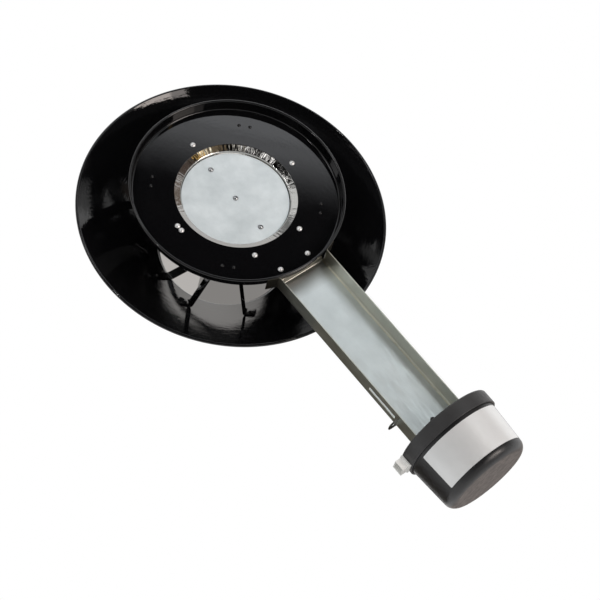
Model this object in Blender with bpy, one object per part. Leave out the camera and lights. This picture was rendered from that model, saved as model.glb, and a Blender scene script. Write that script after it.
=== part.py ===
"""Draft hood with a motor driven flue damper.

A flared skirt, braced across its throat, hangs on four bent legs over a shallow base pan. The pan
carries a short damper duct with a turning blade, and a channel arm holds the damper actuator away
from the hot flue.
Frame: +Z up, +X along the arm, origin on the flue axis in the plane of the pan's rim.
"""

import math

import bmesh
import bpy
from mathutils import Matrix, Vector

MM = 0.001

# Clearances
SEAT_GAP = 0.3 * MM
RUN_GAP = 0.3 * MM
HOLE_GAP = 0.3 * MM

# Base pan, a shallow dish with its rim down
PAN_RIM_RADIUS = 121.4 * MM
PAN_DEPTH = 14.8 * MM
PAN_WALL_LEAN = 2.0 * MM
PAN_HOLE_RADIUS = 70.5 * MM
PAN_SHEET = 0.9 * MM
PAN_BEAD_RADIUS = 1.5 * MM
PAN_BEND = 2.5 * MM

# Flared skirt with its neck and rolled rim
SKIRT_RIM_RADIUS = 180.0 * MM
SKIRT_RIM_Z = 48.6 * MM
THROAT_Z = 128.0 * MM
NECK_HEIGHT = 13.0 * MM
NECK_BEND = 7.0 * MM
SKIRT_SHEET = 0.9 * MM
SKIRT_BEAD_RADIUS = 2.0 * MM

# Vent collar, sized for a six inch vent pipe slipped over it
COLLAR_RADIUS = 75.6 * MM
COLLAR_SHEET = 0.8 * MM
COLLAR_RISE = 42.0 * MM
COLLAR_BEAD = 1.6 * MM

# Damper duct, five inch bore, with a flared mouth and a flange on the pan floor
DUCT_BORE_RADIUS = 63.5 * MM
DUCT_SHEET = 0.8 * MM
DUCT_FLANGE_RADIUS = 88.0 * MM
DUCT_FLARE_RISE = 3.6 * MM
DUCT_HEIGHT = 34.0 * MM
DUCT_BEND = 1.2 * MM

# Damper blade, shaft and bushes
BLADE_EDGE_GAP = 1.5 * MM
BLADE_SHEET = 1.0 * MM
BLADE_RISE = 6.8 * MM
BLADE_SCREW_PITCH = 46.2 * MM
BLADE_SCREW_HEAD_RADIUS = 3.2 * MM
BLADE_SCREW_HEAD_HEIGHT = 2.0 * MM
BLADE_SCREW_RADIUS = 1.5 * MM
SHAFT_RADIUS = 4.0 * MM
SHAFT_TAIL = 10.0 * MM
BUSH_WALL = 1.3 * MM
BUSH_FLANGE_WALL = 0.9 * MM
BUSH_FLANGE_THICKNESS = 1.8 * MM
BUSH_LENGTH = 4.0 * MM

# Legs between pan and skirt
LEG_FLANGE_GAP = 1.5 * MM
LEG_WIDTH = 15.0 * MM
LEG_SHEET = 1.5 * MM
LEG_BEND = 3.0 * MM
LEG_FIRST_HEADING = 43.5
LEG_BASE_HALF = 12.8 * MM
LEG_ARM_LEAN = 18.4 * MM
LEG_FOOT_SETBACK = 1.5 * MM
LEG_FOOT_LENGTH = 12.6 * MM
LEG_RIVET_HALF = 6.4 * MM

# Brace strap across the skirt's throat
BRACE_HEADING = 92.5
BRACE_WIDTH = 10.0 * MM
BRACE_SHEET = 1.2 * MM
BRACE_BEND = 4.0 * MM
BRACE_FOOT = 37.0 * MM
BRACE_RIVET_EDGE = 3.7 * MM
BRACE_RIVET_PITCH = 11.2 * MM

# Channel arm and what hangs on it
CHANNEL_HALF_WIDTH = 33.2 * MM
CHANNEL_DEPTH = 20.2 * MM
CHANNEL_SHEET = 1.0 * MM
CHANNEL_BEND = 2.0 * MM
CHANNEL_END_X = 359.7 * MM
CHANNEL_TAB_REACH = 15.0 * MM
CHANNEL_FOOT_LENGTH = 17.0 * MM
CHANNEL_END_RISE = 26.0 * MM
CHANNEL_RIVET_EDGE = 9.6 * MM
CHANNEL_RIVET_Y = 19.5 * MM
SLOT_LUG_GAP = 5.0 * MM
SLOT_LENGTH = 43.0 * MM
SLOT_HEIGHT = 4.5 * MM
SLOT_Z = 11.5 * MM
LUG_SETBACK = 33.7 * MM
LUG_REACH = 14.0 * MM
LUG_HEIGHT = 15.0 * MM
LUG_HOLE_RADIUS = 2.6 * MM

# Rivets: bright dome heads, and small painted ones for the legs
RIVET_HEAD_RADIUS = 3.2 * MM
RIVET_HEAD_HEIGHT = 1.7 * MM
RIVET_RADIUS = 1.6 * MM
SMALL_RIVET_HEAD_RADIUS = 2.0 * MM
SMALL_RIVET_HEAD_HEIGHT = 1.0 * MM
SMALL_RIVET_RADIUS = 1.1 * MM
RIVET_TAIL_HEIGHT = 1.4 * MM
RIVET_TAIL_LIP = 0.9 * MM
DUCT_RIVET_EDGE = 6.4 * MM
DUCT_RIVET_HEADINGS = (-90.0, 180.0, 92.0, 87.0, 23.3, -23.3)

# Actuator base and cover, turned about their own axis
ACTUATOR_AXIS_Z = 5.9 * MM
BASE_RADIUS = 58.3 * MM
BASE_DEPTH = 17.0 * MM
BASE_WALL = 2.4 * MM
BASE_ROUND = 2.0 * MM
COVER_RADIUS = 55.6 * MM
COVER_END_RADIUS = 52.2 * MM
COVER_LENGTH = 76.0 * MM
COVER_WALL = 2.2 * MM
COVER_ROUND = 10.5 * MM
COVER_OVERLAP = 11.0 * MM
CLIP_HEADING = -58.4
CLIP_HEAD_RADIUS = 2.8 * MM
CLIP_HEAD_HEIGHT = 2.8 * MM
CLIP_RADIUS = 1.5 * MM
BASE_SCREW_Y = 22.0 * MM
BASE_SCREW_RISE = 16.0 * MM
LABEL_START = 4.0 * MM
LABEL_WIDTH = 44.0 * MM
LABEL_THICKNESS = 0.3 * MM
LABEL_HEADING = -80.5
LABEL_HALF_ANGLE = 60.0

# Wiring connector in the side of the base
CONNECTOR_WIDTH = 13.0 * MM
CONNECTOR_Z = 14.0 * MM
CONNECTOR_REACH = 13.0 * MM
CONNECTOR_INSIDE = 5.0 * MM
CONNECTOR_LIP = 1.2 * MM
CONNECTOR_SOCKET_WALL = 1.6 * MM
CONNECTOR_SOCKET_DEPTH = 7.0 * MM

# Gear train, motor and end switch inside the actuator
GEAR_MODULE = 1.2 * MM
GEAR_TEETH = 40
PINION_TEETH = 10
PRESSURE_ANGLE = math.radians(25.0)
GEAR_ADDENDUM = 0.75
PINION_ADDENDUM = 0.9
DEDENDUM = 1.15
TOOTH_SHARE = 0.43
GEAR_WIDTH = 6.0 * MM
CAM_WIDTH = 4.0 * MM
CAM_RADIUS = 12.0 * MM
CAM_FALL = 3.0 * MM
CAM_LEAD = 15.0
DAMPER_TURN = 90.0
FULL_TURN = 360.0
PLATE_RADIUS = 46.0 * MM
PLATE_SHEET = 1.5 * MM
POST_RADIUS = 4.0 * MM
POST_CIRCLE = 42.0 * MM
POST_HEADINGS = (30.0, 150.0, 270.0)
MOTOR_RADIUS = 24.5 * MM
MOTOR_LENGTH = 34.0 * MM
MOTOR_FLANGE_RADIUS = 30.0 * MM
MOTOR_FLANGE_SHEET = 2.0 * MM
MOTOR_SCREW_CIRCLE = 27.0 * MM
PINION_SHAFT_RADIUS = 2.2 * MM
PINION_SHAFT_DEPTH = 6.0 * MM
LEVER_LENGTH = 16.0 * MM
LEVER_OFFSET = 5.0 * MM
LEVER_TIP_RADIUS = 1.2 * MM
LEVER_WIDTH = 3.0 * MM
LEVER_GAP = 0.6 * MM
LEVER_EYE_RADIUS = 2.2 * MM
LEVER_PIN_RADIUS = 0.8 * MM
SWITCH_HEIGHT = 20.0 * MM
SWITCH_DEPTH = 10.0 * MM
SWITCH_EAR = 1.0 * MM
SMALL_SCREW_RADIUS = 1.5 * MM
SMALL_SCREW_HEAD_RADIUS = 3.0 * MM
SMALL_SCREW_HEAD_HEIGHT = 2.0 * MM
NUT_HEIGHT = 2.6 * MM

# How finely round shapes are cut
ROUND_STEPS = 40
DUCT_STEPS = 30
LEG_BEND_STEPS = 3
FOOT_ROUNDS = 20
CUP_STEPS = 32
SHAFT_STEPS = 12
RIVET_STEPS = 8
SCREW_STEPS = 8
SMALL_STEPS = 6
BEAD_STEPS = 4
BEND_STEPS = 2
LABEL_STEPS = 14
CAM_STEP = 6
SMOOTH_ANGLE = 35.0
MERGE_DISTANCE = 1e-6
MITRE_LIMIT = 0.3
DRILL_SPARE = 1.0 * MM

FINISHES = {
    "enamel": ((0.004, 0.004, 0.005), 0.08, 0.0),
    "stainless": ((0.62, 0.60, 0.57), 0.12, 1.0),
    "zinc": ((0.62, 0.66, 0.67), 0.38, 0.9),
    "galvanised": ((0.47, 0.51, 0.50), 0.42, 0.9),
    "aluminium": ((0.75, 0.75, 0.74), 0.25, 1.0),
    "black_plastic": ((0.012, 0.012, 0.013), 0.35, 0.0),
    "charcoal_plastic": ((0.020, 0.020, 0.021), 0.42, 0.0),
    "nylon": ((0.75, 0.74, 0.70), 0.40, 0.0),
    "label": ((0.52, 0.51, 0.49), 0.35, 0.6),
    "steel": ((0.40, 0.41, 0.42), 0.35, 1.0),
    "bronze": ((0.45, 0.28, 0.13), 0.40, 1.0),
    "acetal": ((0.70, 0.69, 0.64), 0.45, 0.0),
}


# Shared shop tools

def clear_scene():
    for obj in list(bpy.data.objects):
        bpy.data.objects.remove(obj, do_unlink=True)


def finish(name, kind):
    colour, roughness, metallic = FINISHES[kind]
    material = bpy.data.materials.new(f"{name}_{kind}")
    material.use_nodes = True
    shader = material.node_tree.nodes["Principled BSDF"]
    shader.inputs["Base Color"].default_value = (*colour, 1.0)
    shader.inputs["Roughness"].default_value = roughness
    shader.inputs["Metallic"].default_value = metallic
    return material


def add_empty(name, location, heading_x=False):
    """An empty on a joint axis. With heading_x its own Z points along +X and its own X points down."""
    empty = bpy.data.objects.new(name, None)
    bpy.context.scene.collection.objects.link(empty)
    empty.location = location
    if heading_x:
        empty.rotation_euler = (0.0, math.pi / 2, 0.0)
    return empty


def add_object(name, bm, kind, parent=None):
    bmesh.ops.recalc_face_normals(bm, faces=bm.faces)
    mesh = bpy.data.meshes.new(name)
    bm.to_mesh(mesh)
    bm.free()
    mesh.shade_smooth()
    mesh.set_sharp_from_angle(angle=math.radians(SMOOTH_ANGLE))
    mesh.materials.append(finish(name, kind))
    obj = bpy.data.objects.new(name, mesh)
    bpy.context.scene.collection.objects.link(obj)
    obj.parent = parent
    return obj


def add_sheet(name, bm, thickness, kind, offset=-1.0):
    """A folded sheet: offset -1 grows it away from its face's normal, and 0 to both sides."""
    mesh = bpy.data.meshes.new(name)
    bm.to_mesh(mesh)
    bm.free()
    mesh.materials.append(finish(name, kind))
    obj = bpy.data.objects.new(name, mesh)
    bpy.context.scene.collection.objects.link(obj)
    wall = obj.modifiers.new("sheet", "SOLIDIFY")
    wall.thickness = thickness
    wall.offset = offset
    wall.use_even_offset = True
    return obj


def add_cutter(name, bm, parent=None):
    bmesh.ops.recalc_face_normals(bm, faces=bm.faces)
    mesh = bpy.data.meshes.new(name)
    bm.to_mesh(mesh)
    bm.free()
    obj = bpy.data.objects.new(name, mesh)
    bpy.context.scene.collection.objects.link(obj)
    obj.parent = parent
    obj.hide_render = True
    obj.display_type = "WIRE"
    return obj


def boolean(target, tool, operation="DIFFERENCE"):
    modifier = target.modifiers.new(tool.name, "BOOLEAN")
    modifier.object = tool
    modifier.operation = operation
    modifier.solver = "EXACT"


def polar(radius, heading, z=0.0):
    angle = math.radians(heading)
    return Vector((radius * math.cos(angle), radius * math.sin(angle), z))


def turned(vector, angle):
    return Matrix.Rotation(angle, 2) @ vector


def rounded_path(corners, steps=BEND_STEPS):
    """Open path through corners (radius, height, bend), with an arc at each bend."""
    path = []
    for i, (radius, height, bend) in enumerate(corners):
        here = Vector((radius, height))
        if bend == 0:
            path.append(here)
            continue
        back = (Vector(corners[i - 1][:2]) - here).normalized()
        ahead = (Vector(corners[i + 1][:2]) - here).normalized()
        half = back.angle(ahead) / 2
        centre = here + (back + ahead).normalized() * bend / math.sin(half)
        first = here + back * bend / math.tan(half) - centre
        last = here + ahead * bend / math.tan(half) - centre
        sweep = math.atan2(first.x * last.y - first.y * last.x, first.dot(last))
        path += [centre + turned(first, sweep * k / steps) for k in range(steps + 1)]
    return path


def sheet_outline(path, thickness, bead=0.0):
    """Closed outline of a sheet whose middle follows an open path, with a rolled bead at its end."""
    left, right = [], []
    for i, point in enumerate(path):
        before = (point - path[i - 1]).normalized() if i else None
        after = (path[i + 1] - point).normalized() if i + 1 < len(path) else before
        before = before or after
        along = (before + after).normalized()
        reach = thickness / 2 / max(along.dot(before), MITRE_LIMIT)
        side = Vector((-along.y, along.x)) * reach
        left.append(point + side)
        right.append(point - side)
    if bead:
        centre = path[-1] + (path[-1] - path[-2]).normalized() * bead
        spoke = left[-1] - centre
        sweep = -2 * math.pi + 2 * math.asin(thickness / 2 / spoke.length)
        left += [centre + turned(spoke, sweep * k / BEAD_STEPS) for k in range(1, BEAD_STEPS)]
    return left + right[::-1]


def revolve(bm, outline, steps, place=None, closed=True):
    """Spin an outline of (radius, height) points about Z. An open one starts and ends on the axis."""
    old = set(bm.verts)
    verts = [bm.verts.new((point[0], 0.0, point[1])) for point in outline]
    edges = [bm.edges.new(pair) for pair in zip(verts, verts[1:])]
    if closed:
        edges.append(bm.edges.new((verts[-1], verts[0])))
    bmesh.ops.spin(bm, geom=verts + edges, cent=(0, 0, 0), axis=(0, 0, 1), dvec=(0, 0, 0),
                   angle=2 * math.pi, steps=steps, use_merge=True)
    new = [vert for vert in bm.verts if vert not in old]
    if not closed:
        bmesh.ops.remove_doubles(bm, verts=new, dist=MERGE_DISTANCE)
        new = [vert for vert in bm.verts if vert not in old]
    if place:
        bmesh.ops.transform(bm, matrix=place, verts=new)


def aimed(point, out):
    """A matrix at a point whose own Z looks along out."""
    return Matrix.Translation(point) @ Vector(out).to_track_quat("Z", "Y").to_matrix().to_4x4()


def rod(bm, radius, low, high, steps=SHAFT_STEPS, place=None):
    revolve(bm, [(0, high), (radius, high), (radius, low), (0, low)], steps, place, closed=False)


def block(bm, low, high):
    middle = (Vector(low) + Vector(high)) / 2
    size = Vector(high) - Vector(low)
    place = Matrix.Translation(middle) @ Matrix.Diagonal((*size, 1.0))
    bmesh.ops.create_cube(bm, size=1.0, matrix=place)


def prism(bm, loops, low, high):
    """Extrude an outline, with any holes, from one height to another."""
    edges = []
    for loop in loops:
        verts = [bm.verts.new((x, y, low)) for x, y in loop]
        edges += [bm.edges.new((verts[i - 1], verts[i])) for i in range(len(verts))]
    made = bmesh.ops.triangle_fill(bm, use_beauty=True, use_dissolve=False, edges=edges)
    faces = [item for item in made["geom"] if isinstance(item, bmesh.types.BMFace)]
    top = bmesh.ops.extrude_face_region(bm, geom=faces, use_keep_orig=True)["geom"]
    rise = [item for item in top if isinstance(item, bmesh.types.BMVert)]
    bmesh.ops.translate(bm, verts=rise, vec=(0, 0, high - low))


def ring(radius, steps=SHAFT_STEPS, centre=(0.0, 0.0)):
    angles = [2 * math.pi * k / steps for k in range(steps)]
    return [(centre[0] + radius * math.cos(a), centre[1] + radius * math.sin(a)) for a in angles]


def dome(radius, height, base, steps=2):
    """Half outline of a low round head that stands on height base, from its top to its edge."""
    ball = (radius ** 2 + height ** 2) / (2 * height)
    sweep = 2 * math.atan2(height, radius)
    angles = [sweep * k / steps for k in range(steps + 1)]
    return [(ball * math.sin(a), base + height - ball + ball * math.cos(a)) for a in angles]


def rivet_outline(grip, head_radius, head_height, radius, head_gap=SEAT_GAP, tail_gap=SEAT_GAP):
    """Half outline of a blind rivet: a dome on the near side, a shank and a tail on the far side."""
    foot = -grip - tail_gap
    tail = [(radius, foot), (radius + RIVET_TAIL_LIP, foot), (radius, foot - RIVET_TAIL_HEIGHT),
            (0, foot - RIVET_TAIL_HEIGHT)]
    return dome(head_radius, head_height, head_gap) + [(radius, head_gap)] + tail


def screw_outline(end, head_radius, head_height, radius):
    """Half outline of a pan head screw whose plain end lies at height end under its head."""
    return dome(head_radius, head_height, SEAT_GAP) + [(radius, SEAT_GAP), (radius, end), (0, end)]


def add_fasteners(name, outline, places, kind, steps, parent=None):
    """Like fasteners, each its own object with a number after the name."""
    for number, place in enumerate(places, 1):
        bm = bmesh.new()
        revolve(bm, outline, steps, place, closed=False)
        add_object(f"{name}_{number}", bm, kind, parent)


def hole_cutter(name, places, radius, grip, parent=None):
    """Drills for a set of rivets or screws, through everything in their grip."""
    bm = bmesh.new()
    for place in places:
        rod(bm, radius + HOLE_GAP, -grip - DRILL_SPARE, DRILL_SPARE, SMALL_STEPS, place)
    return add_cutter(name, bm, parent)


def drill_all(name, places, radius, grip, pieces):
    drill = hole_cutter(name, places, radius, grip)
    for piece in pieces:
        boolean(piece, drill)


# Base pan

PAN_FLOOR_RADIUS = PAN_RIM_RADIUS - PAN_WALL_LEAN


def pan_outline():
    floor_z = PAN_DEPTH + PAN_SHEET / 2
    corners = [
        (PAN_HOLE_RADIUS, floor_z, 0),
        (PAN_FLOOR_RADIUS, floor_z, PAN_BEND),
        (PAN_RIM_RADIUS - PAN_BEAD_RADIUS / 2, 2 * PAN_BEAD_RADIUS, 0),
    ]
    return sheet_outline(rounded_path(corners), PAN_SHEET, PAN_BEAD_RADIUS)


def build_pan():
    bm = bmesh.new()
    revolve(bm, pan_outline(), ROUND_STEPS)
    return add_object("base_pan", bm, "enamel")


PAN_FLOOR_TOP = PAN_DEPTH + PAN_SHEET
PAN_OUTER_RADIUS = max(point.x for point in pan_outline())


# Flared skirt and vent collar

NECK_RADIUS = COLLAR_RADIUS + SEAT_GAP + SKIRT_SHEET / 2
SKIRT_CONE_END = SKIRT_RIM_RADIUS - 2 * SKIRT_BEAD_RADIUS
SKIRT_SLOPE = math.atan2(THROAT_Z - SKIRT_RIM_Z, SKIRT_CONE_END - NECK_RADIUS)


def skirt_z(radius):
    """Height of the middle of the skirt's sheet on its straight cone."""
    return SKIRT_RIM_Z + (SKIRT_CONE_END - radius) * math.tan(SKIRT_SLOPE)


def skirt_out(heading):
    """The skirt's outward normal at a heading."""
    return polar(math.sin(SKIRT_SLOPE), heading, math.cos(SKIRT_SLOPE))


def under_skirt_z(radius, sheet):
    """Height of the middle of a strip that lies against the underside of the skirt's cone."""
    return skirt_z(radius) - (SKIRT_SHEET / 2 + SEAT_GAP + sheet / 2) / math.cos(SKIRT_SLOPE)


def skirt_rivet_place(radius, heading, sheet):
    """A rivet's seat on the lower face of a strip under the skirt, looking down from it."""
    out = skirt_out(heading)
    return aimed(polar(radius, heading, under_skirt_z(radius, sheet)) - out * sheet / 2, -out)


def build_skirt():
    corners = [
        (NECK_RADIUS, THROAT_Z + NECK_HEIGHT, 0),
        (NECK_RADIUS, THROAT_Z, NECK_BEND),
        (SKIRT_CONE_END, SKIRT_RIM_Z, 0),
    ]
    bm = bmesh.new()
    path = rounded_path(corners, BEND_STEPS + 1)
    revolve(bm, sheet_outline(path, SKIRT_SHEET, SKIRT_BEAD_RADIUS), ROUND_STEPS)
    return add_object("hood_skirt", bm, "enamel")


COLLAR_LOW_Z = THROAT_Z + NECK_BEND / 2
COLLAR_TOP_Z = THROAT_Z + NECK_HEIGHT + COLLAR_RISE


def build_collar():
    middle = COLLAR_RADIUS - COLLAR_SHEET / 2
    bead_z = THROAT_Z + NECK_HEIGHT + 3 * COLLAR_BEAD
    corners = [
        (middle, COLLAR_LOW_Z, 0),
        (middle, bead_z - COLLAR_BEAD, 0),
        (middle + COLLAR_BEAD, bead_z, 0),
        (middle, bead_z + COLLAR_BEAD, 0),
        (middle, COLLAR_TOP_Z, 0),
    ]
    bm = bmesh.new()
    revolve(bm, sheet_outline(rounded_path(corners), COLLAR_SHEET), ROUND_STEPS)
    return add_object("vent_collar", bm, "enamel")


# Damper duct

DUCT_LOW_Z = PAN_FLOOR_TOP + SEAT_GAP
DUCT_TOP_Z = DUCT_LOW_Z + DUCT_HEIGHT


def build_duct():
    middle_z = DUCT_LOW_Z + DUCT_SHEET / 2
    wall = DUCT_BORE_RADIUS + DUCT_SHEET / 2
    corners = [
        (DUCT_FLANGE_RADIUS, middle_z, 0),
        (PAN_HOLE_RADIUS + DUCT_SHEET, middle_z, DUCT_BEND),
        (wall, middle_z + DUCT_FLARE_RISE, DUCT_BEND),
        (wall, DUCT_TOP_Z, 0),
    ]
    bm = bmesh.new()
    revolve(bm, sheet_outline(rounded_path(corners), DUCT_SHEET), DUCT_STEPS)
    return add_object("damper_duct", bm, "stainless")


# Legs

LEG_RADIUS = DUCT_FLANGE_RADIUS + LEG_FLANGE_GAP + LEG_WIDTH / 2
LEG_BASE_Z = PAN_FLOOR_TOP + SEAT_GAP + LEG_SHEET / 2
LEG_FOOT_OUT = LEG_RADIUS - LEG_FOOT_SETBACK
LEG_FOOT_ALONG = LEG_BASE_HALF + LEG_ARM_LEAN
LEG_HEADINGS = tuple(LEG_FIRST_HEADING + 90.0 * k for k in range(4))
LEG_PAN_GRIP = PAN_SHEET + SEAT_GAP + LEG_SHEET
LEG_FOOT_GRIP = LEG_SHEET + SEAT_GAP + SKIRT_SHEET


def foot_z(along, out):
    """Height of a leg's foot under the skirt, from its place along and out from the flue's axis."""
    return under_skirt_z(math.hypot(along, out), LEG_SHEET)


def leg_edge(across):
    """One edge of half a leg, as (along, out, height): its base, a flat leaning arm and a foot on the cone."""
    lean = LEG_ARM_LEAN / (foot_z(LEG_FOOT_ALONG, LEG_FOOT_OUT) - LEG_BASE_Z)
    out = LEG_FOOT_OUT + across
    along = LEG_FOOT_ALONG
    for _ in range(FOOT_ROUNDS):
        along = LEG_BASE_HALF + lean * (foot_z(along, out) - LEG_BASE_Z)
    end = along + LEG_FOOT_LENGTH
    return [
        (LEG_BASE_HALF, LEG_RADIUS + across, LEG_BASE_Z),
        (along, out, foot_z(along, out)),
        (end, out, foot_z(end, out)),
    ]


def leg_rivet_places(heading):
    """Where a leg's small rivets go: two through the pan floor, one through the skirt at each foot."""
    foot_middle = LEG_FOOT_ALONG + LEG_FOOT_LENGTH / 2
    foot_radius = math.hypot(foot_middle, LEG_FOOT_OUT)
    foot_turn = math.degrees(math.atan2(foot_middle, LEG_FOOT_OUT))
    pan_side, skirt_side = [], []
    for side in (-1, 1):
        spot = polar(LEG_RADIUS, heading, PAN_DEPTH) + polar(side * LEG_RIVET_HALF, heading + 90.0)
        pan_side.append(aimed(spot, (0, 0, -1)))
        skirt_side.append(skirt_rivet_place(foot_radius, heading + side * foot_turn, LEG_SHEET))
    return pan_side, skirt_side


def add_strip(name, rows, thickness):
    """A bent strip from rows of a middle point and half of its width, with its sheet to both sides."""
    bm = bmesh.new()
    pairs = [(bm.verts.new(middle - across), bm.verts.new(middle + across)) for middle, across in rows]
    for (a, b), (c, d) in zip(pairs, pairs[1:]):
        bm.faces.new((a, b, d, c))
    bmesh.ops.recalc_face_normals(bm, faces=bm.faces)
    return add_sheet(name, bm, thickness, "enamel", 0.0)


def fuse_rivets(strip, sets):
    """Join small painted rivets to a strip: sets of an outline and the places it goes to."""
    rivets = bmesh.new()
    for outline, places in sets:
        for place in places:
            revolve(rivets, outline, SMALL_STEPS, place, closed=False)
    boolean(strip, add_cutter(f"{strip.name}_rivets", rivets), "UNION")


SMALL_HEAD = (SMALL_RIVET_HEAD_RADIUS, SMALL_RIVET_HEAD_HEIGHT, SMALL_RIVET_RADIUS)


def build_leg(name, heading):
    """A strip folded like a hat, whose feet are folded askew so that they lie on the cone."""
    bm = bmesh.new()
    rows = []
    inner, outer = leg_edge(-LEG_WIDTH / 2), leg_edge(LEG_WIDTH / 2)
    for side, points in ((-1, list(zip(inner, outer))[::-1]), (1, list(zip(inner, outer)))):
        for pair in points:
            rows.append([bm.verts.new(polar(out, heading, z) + polar(side * along, heading + 90.0))
                         for along, out, z in pair])
    for (a, b), (c, d) in zip(rows, rows[1:]):
        bm.faces.new((a, b, d, c))
    folds = [edge for edge in bm.edges if not edge.is_boundary]
    bmesh.ops.bevel(bm, geom=folds, offset=LEG_BEND, offset_type="OFFSET", segments=LEG_BEND_STEPS,
                    profile=0.5, affect="EDGES", material=-1)
    bmesh.ops.recalc_face_normals(bm, faces=bm.faces)
    base_outline = rivet_outline(LEG_PAN_GRIP, *SMALL_HEAD, tail_gap=-SEAT_GAP)
    foot_outline = rivet_outline(LEG_FOOT_GRIP, *SMALL_HEAD, head_gap=-SEAT_GAP)
    pan_side, skirt_side = leg_rivet_places(heading)
    strip = add_sheet(name, bm, LEG_SHEET, "enamel", 0.0)
    fuse_rivets(strip, [(base_outline, pan_side), (foot_outline, skirt_side)])


# Brace strap

BRACE_END_RADIUS = NECK_RADIUS + BRACE_FOOT
BRACE_GRIP = BRACE_SHEET + SEAT_GAP + SKIRT_SHEET


def brace_rivet_places():
    outer = BRACE_END_RADIUS - BRACE_RIVET_EDGE
    spots = [(outer - k * BRACE_RIVET_PITCH, BRACE_HEADING + turn) for k in (0, 1) for turn in (0.0, 180.0)]
    return [skirt_rivet_place(radius, heading, BRACE_SHEET) for radius, heading in spots]


def build_brace():
    """A flat strap straight across the throat, whose ends bend down along the skirt."""
    top = under_skirt_z(NECK_RADIUS, BRACE_SHEET)
    end = under_skirt_z(BRACE_END_RADIUS, BRACE_SHEET)
    corners = [
        (-BRACE_END_RADIUS, end, 0),
        (-NECK_RADIUS, top, BRACE_BEND),
        (NECK_RADIUS, top, BRACE_BEND),
        (BRACE_END_RADIUS, end, 0),
    ]
    across = polar(BRACE_WIDTH / 2, BRACE_HEADING + 90.0)
    rows = [(polar(reach, BRACE_HEADING, z), across) for reach, z in rounded_path(corners)]
    outline = rivet_outline(BRACE_GRIP, *SMALL_HEAD, head_gap=-SEAT_GAP)
    fuse_rivets(add_strip("throat_brace", rows, BRACE_SHEET), [(outline, brace_rivet_places())])


# Channel arm

WEB_Z = PAN_DEPTH + BLADE_RISE
SHAFT_Z = WEB_Z + max(BLADE_SHEET, CHANNEL_SHEET) + SEAT_GAP + SHAFT_RADIUS
CHANNEL_START_X = math.sqrt((PAN_OUTER_RADIUS + 2 * SEAT_GAP) ** 2 - CHANNEL_HALF_WIDTH ** 2)
CHANNEL_FOOT_Z = PAN_FLOOR_TOP + SEAT_GAP
CHANNEL_FOOT_X = PAN_FLOOR_RADIUS - PAN_BEND + SEAT_GAP
CHANNEL_LOW_Z = WEB_Z - CHANNEL_DEPTH
LUG_X = CHANNEL_END_X - LUG_SETBACK
SLOT_START_X = LUG_X - SLOT_LUG_GAP - SLOT_LENGTH


def channel_section():
    """Half of the trough's inner outline as (y, z), from the web's middle to the flange's edge."""
    corners = [
        (0.0, WEB_Z, 0),
        (CHANNEL_HALF_WIDTH, WEB_Z, CHANNEL_BEND),
        (CHANNEL_HALF_WIDTH, CHANNEL_LOW_Z, 0),
    ]
    return rounded_path(corners)


def extrude_edges(bm, edges, vec):
    made = bmesh.ops.extrude_edge_only(bm, edges=edges)["geom"]
    bmesh.ops.translate(bm, verts=[v for v in made if isinstance(v, bmesh.types.BMVert)], vec=vec)
    return [e for e in made if isinstance(e, bmesh.types.BMEdge) and e.is_boundary and
            all(v in made for v in e.verts)]


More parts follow.
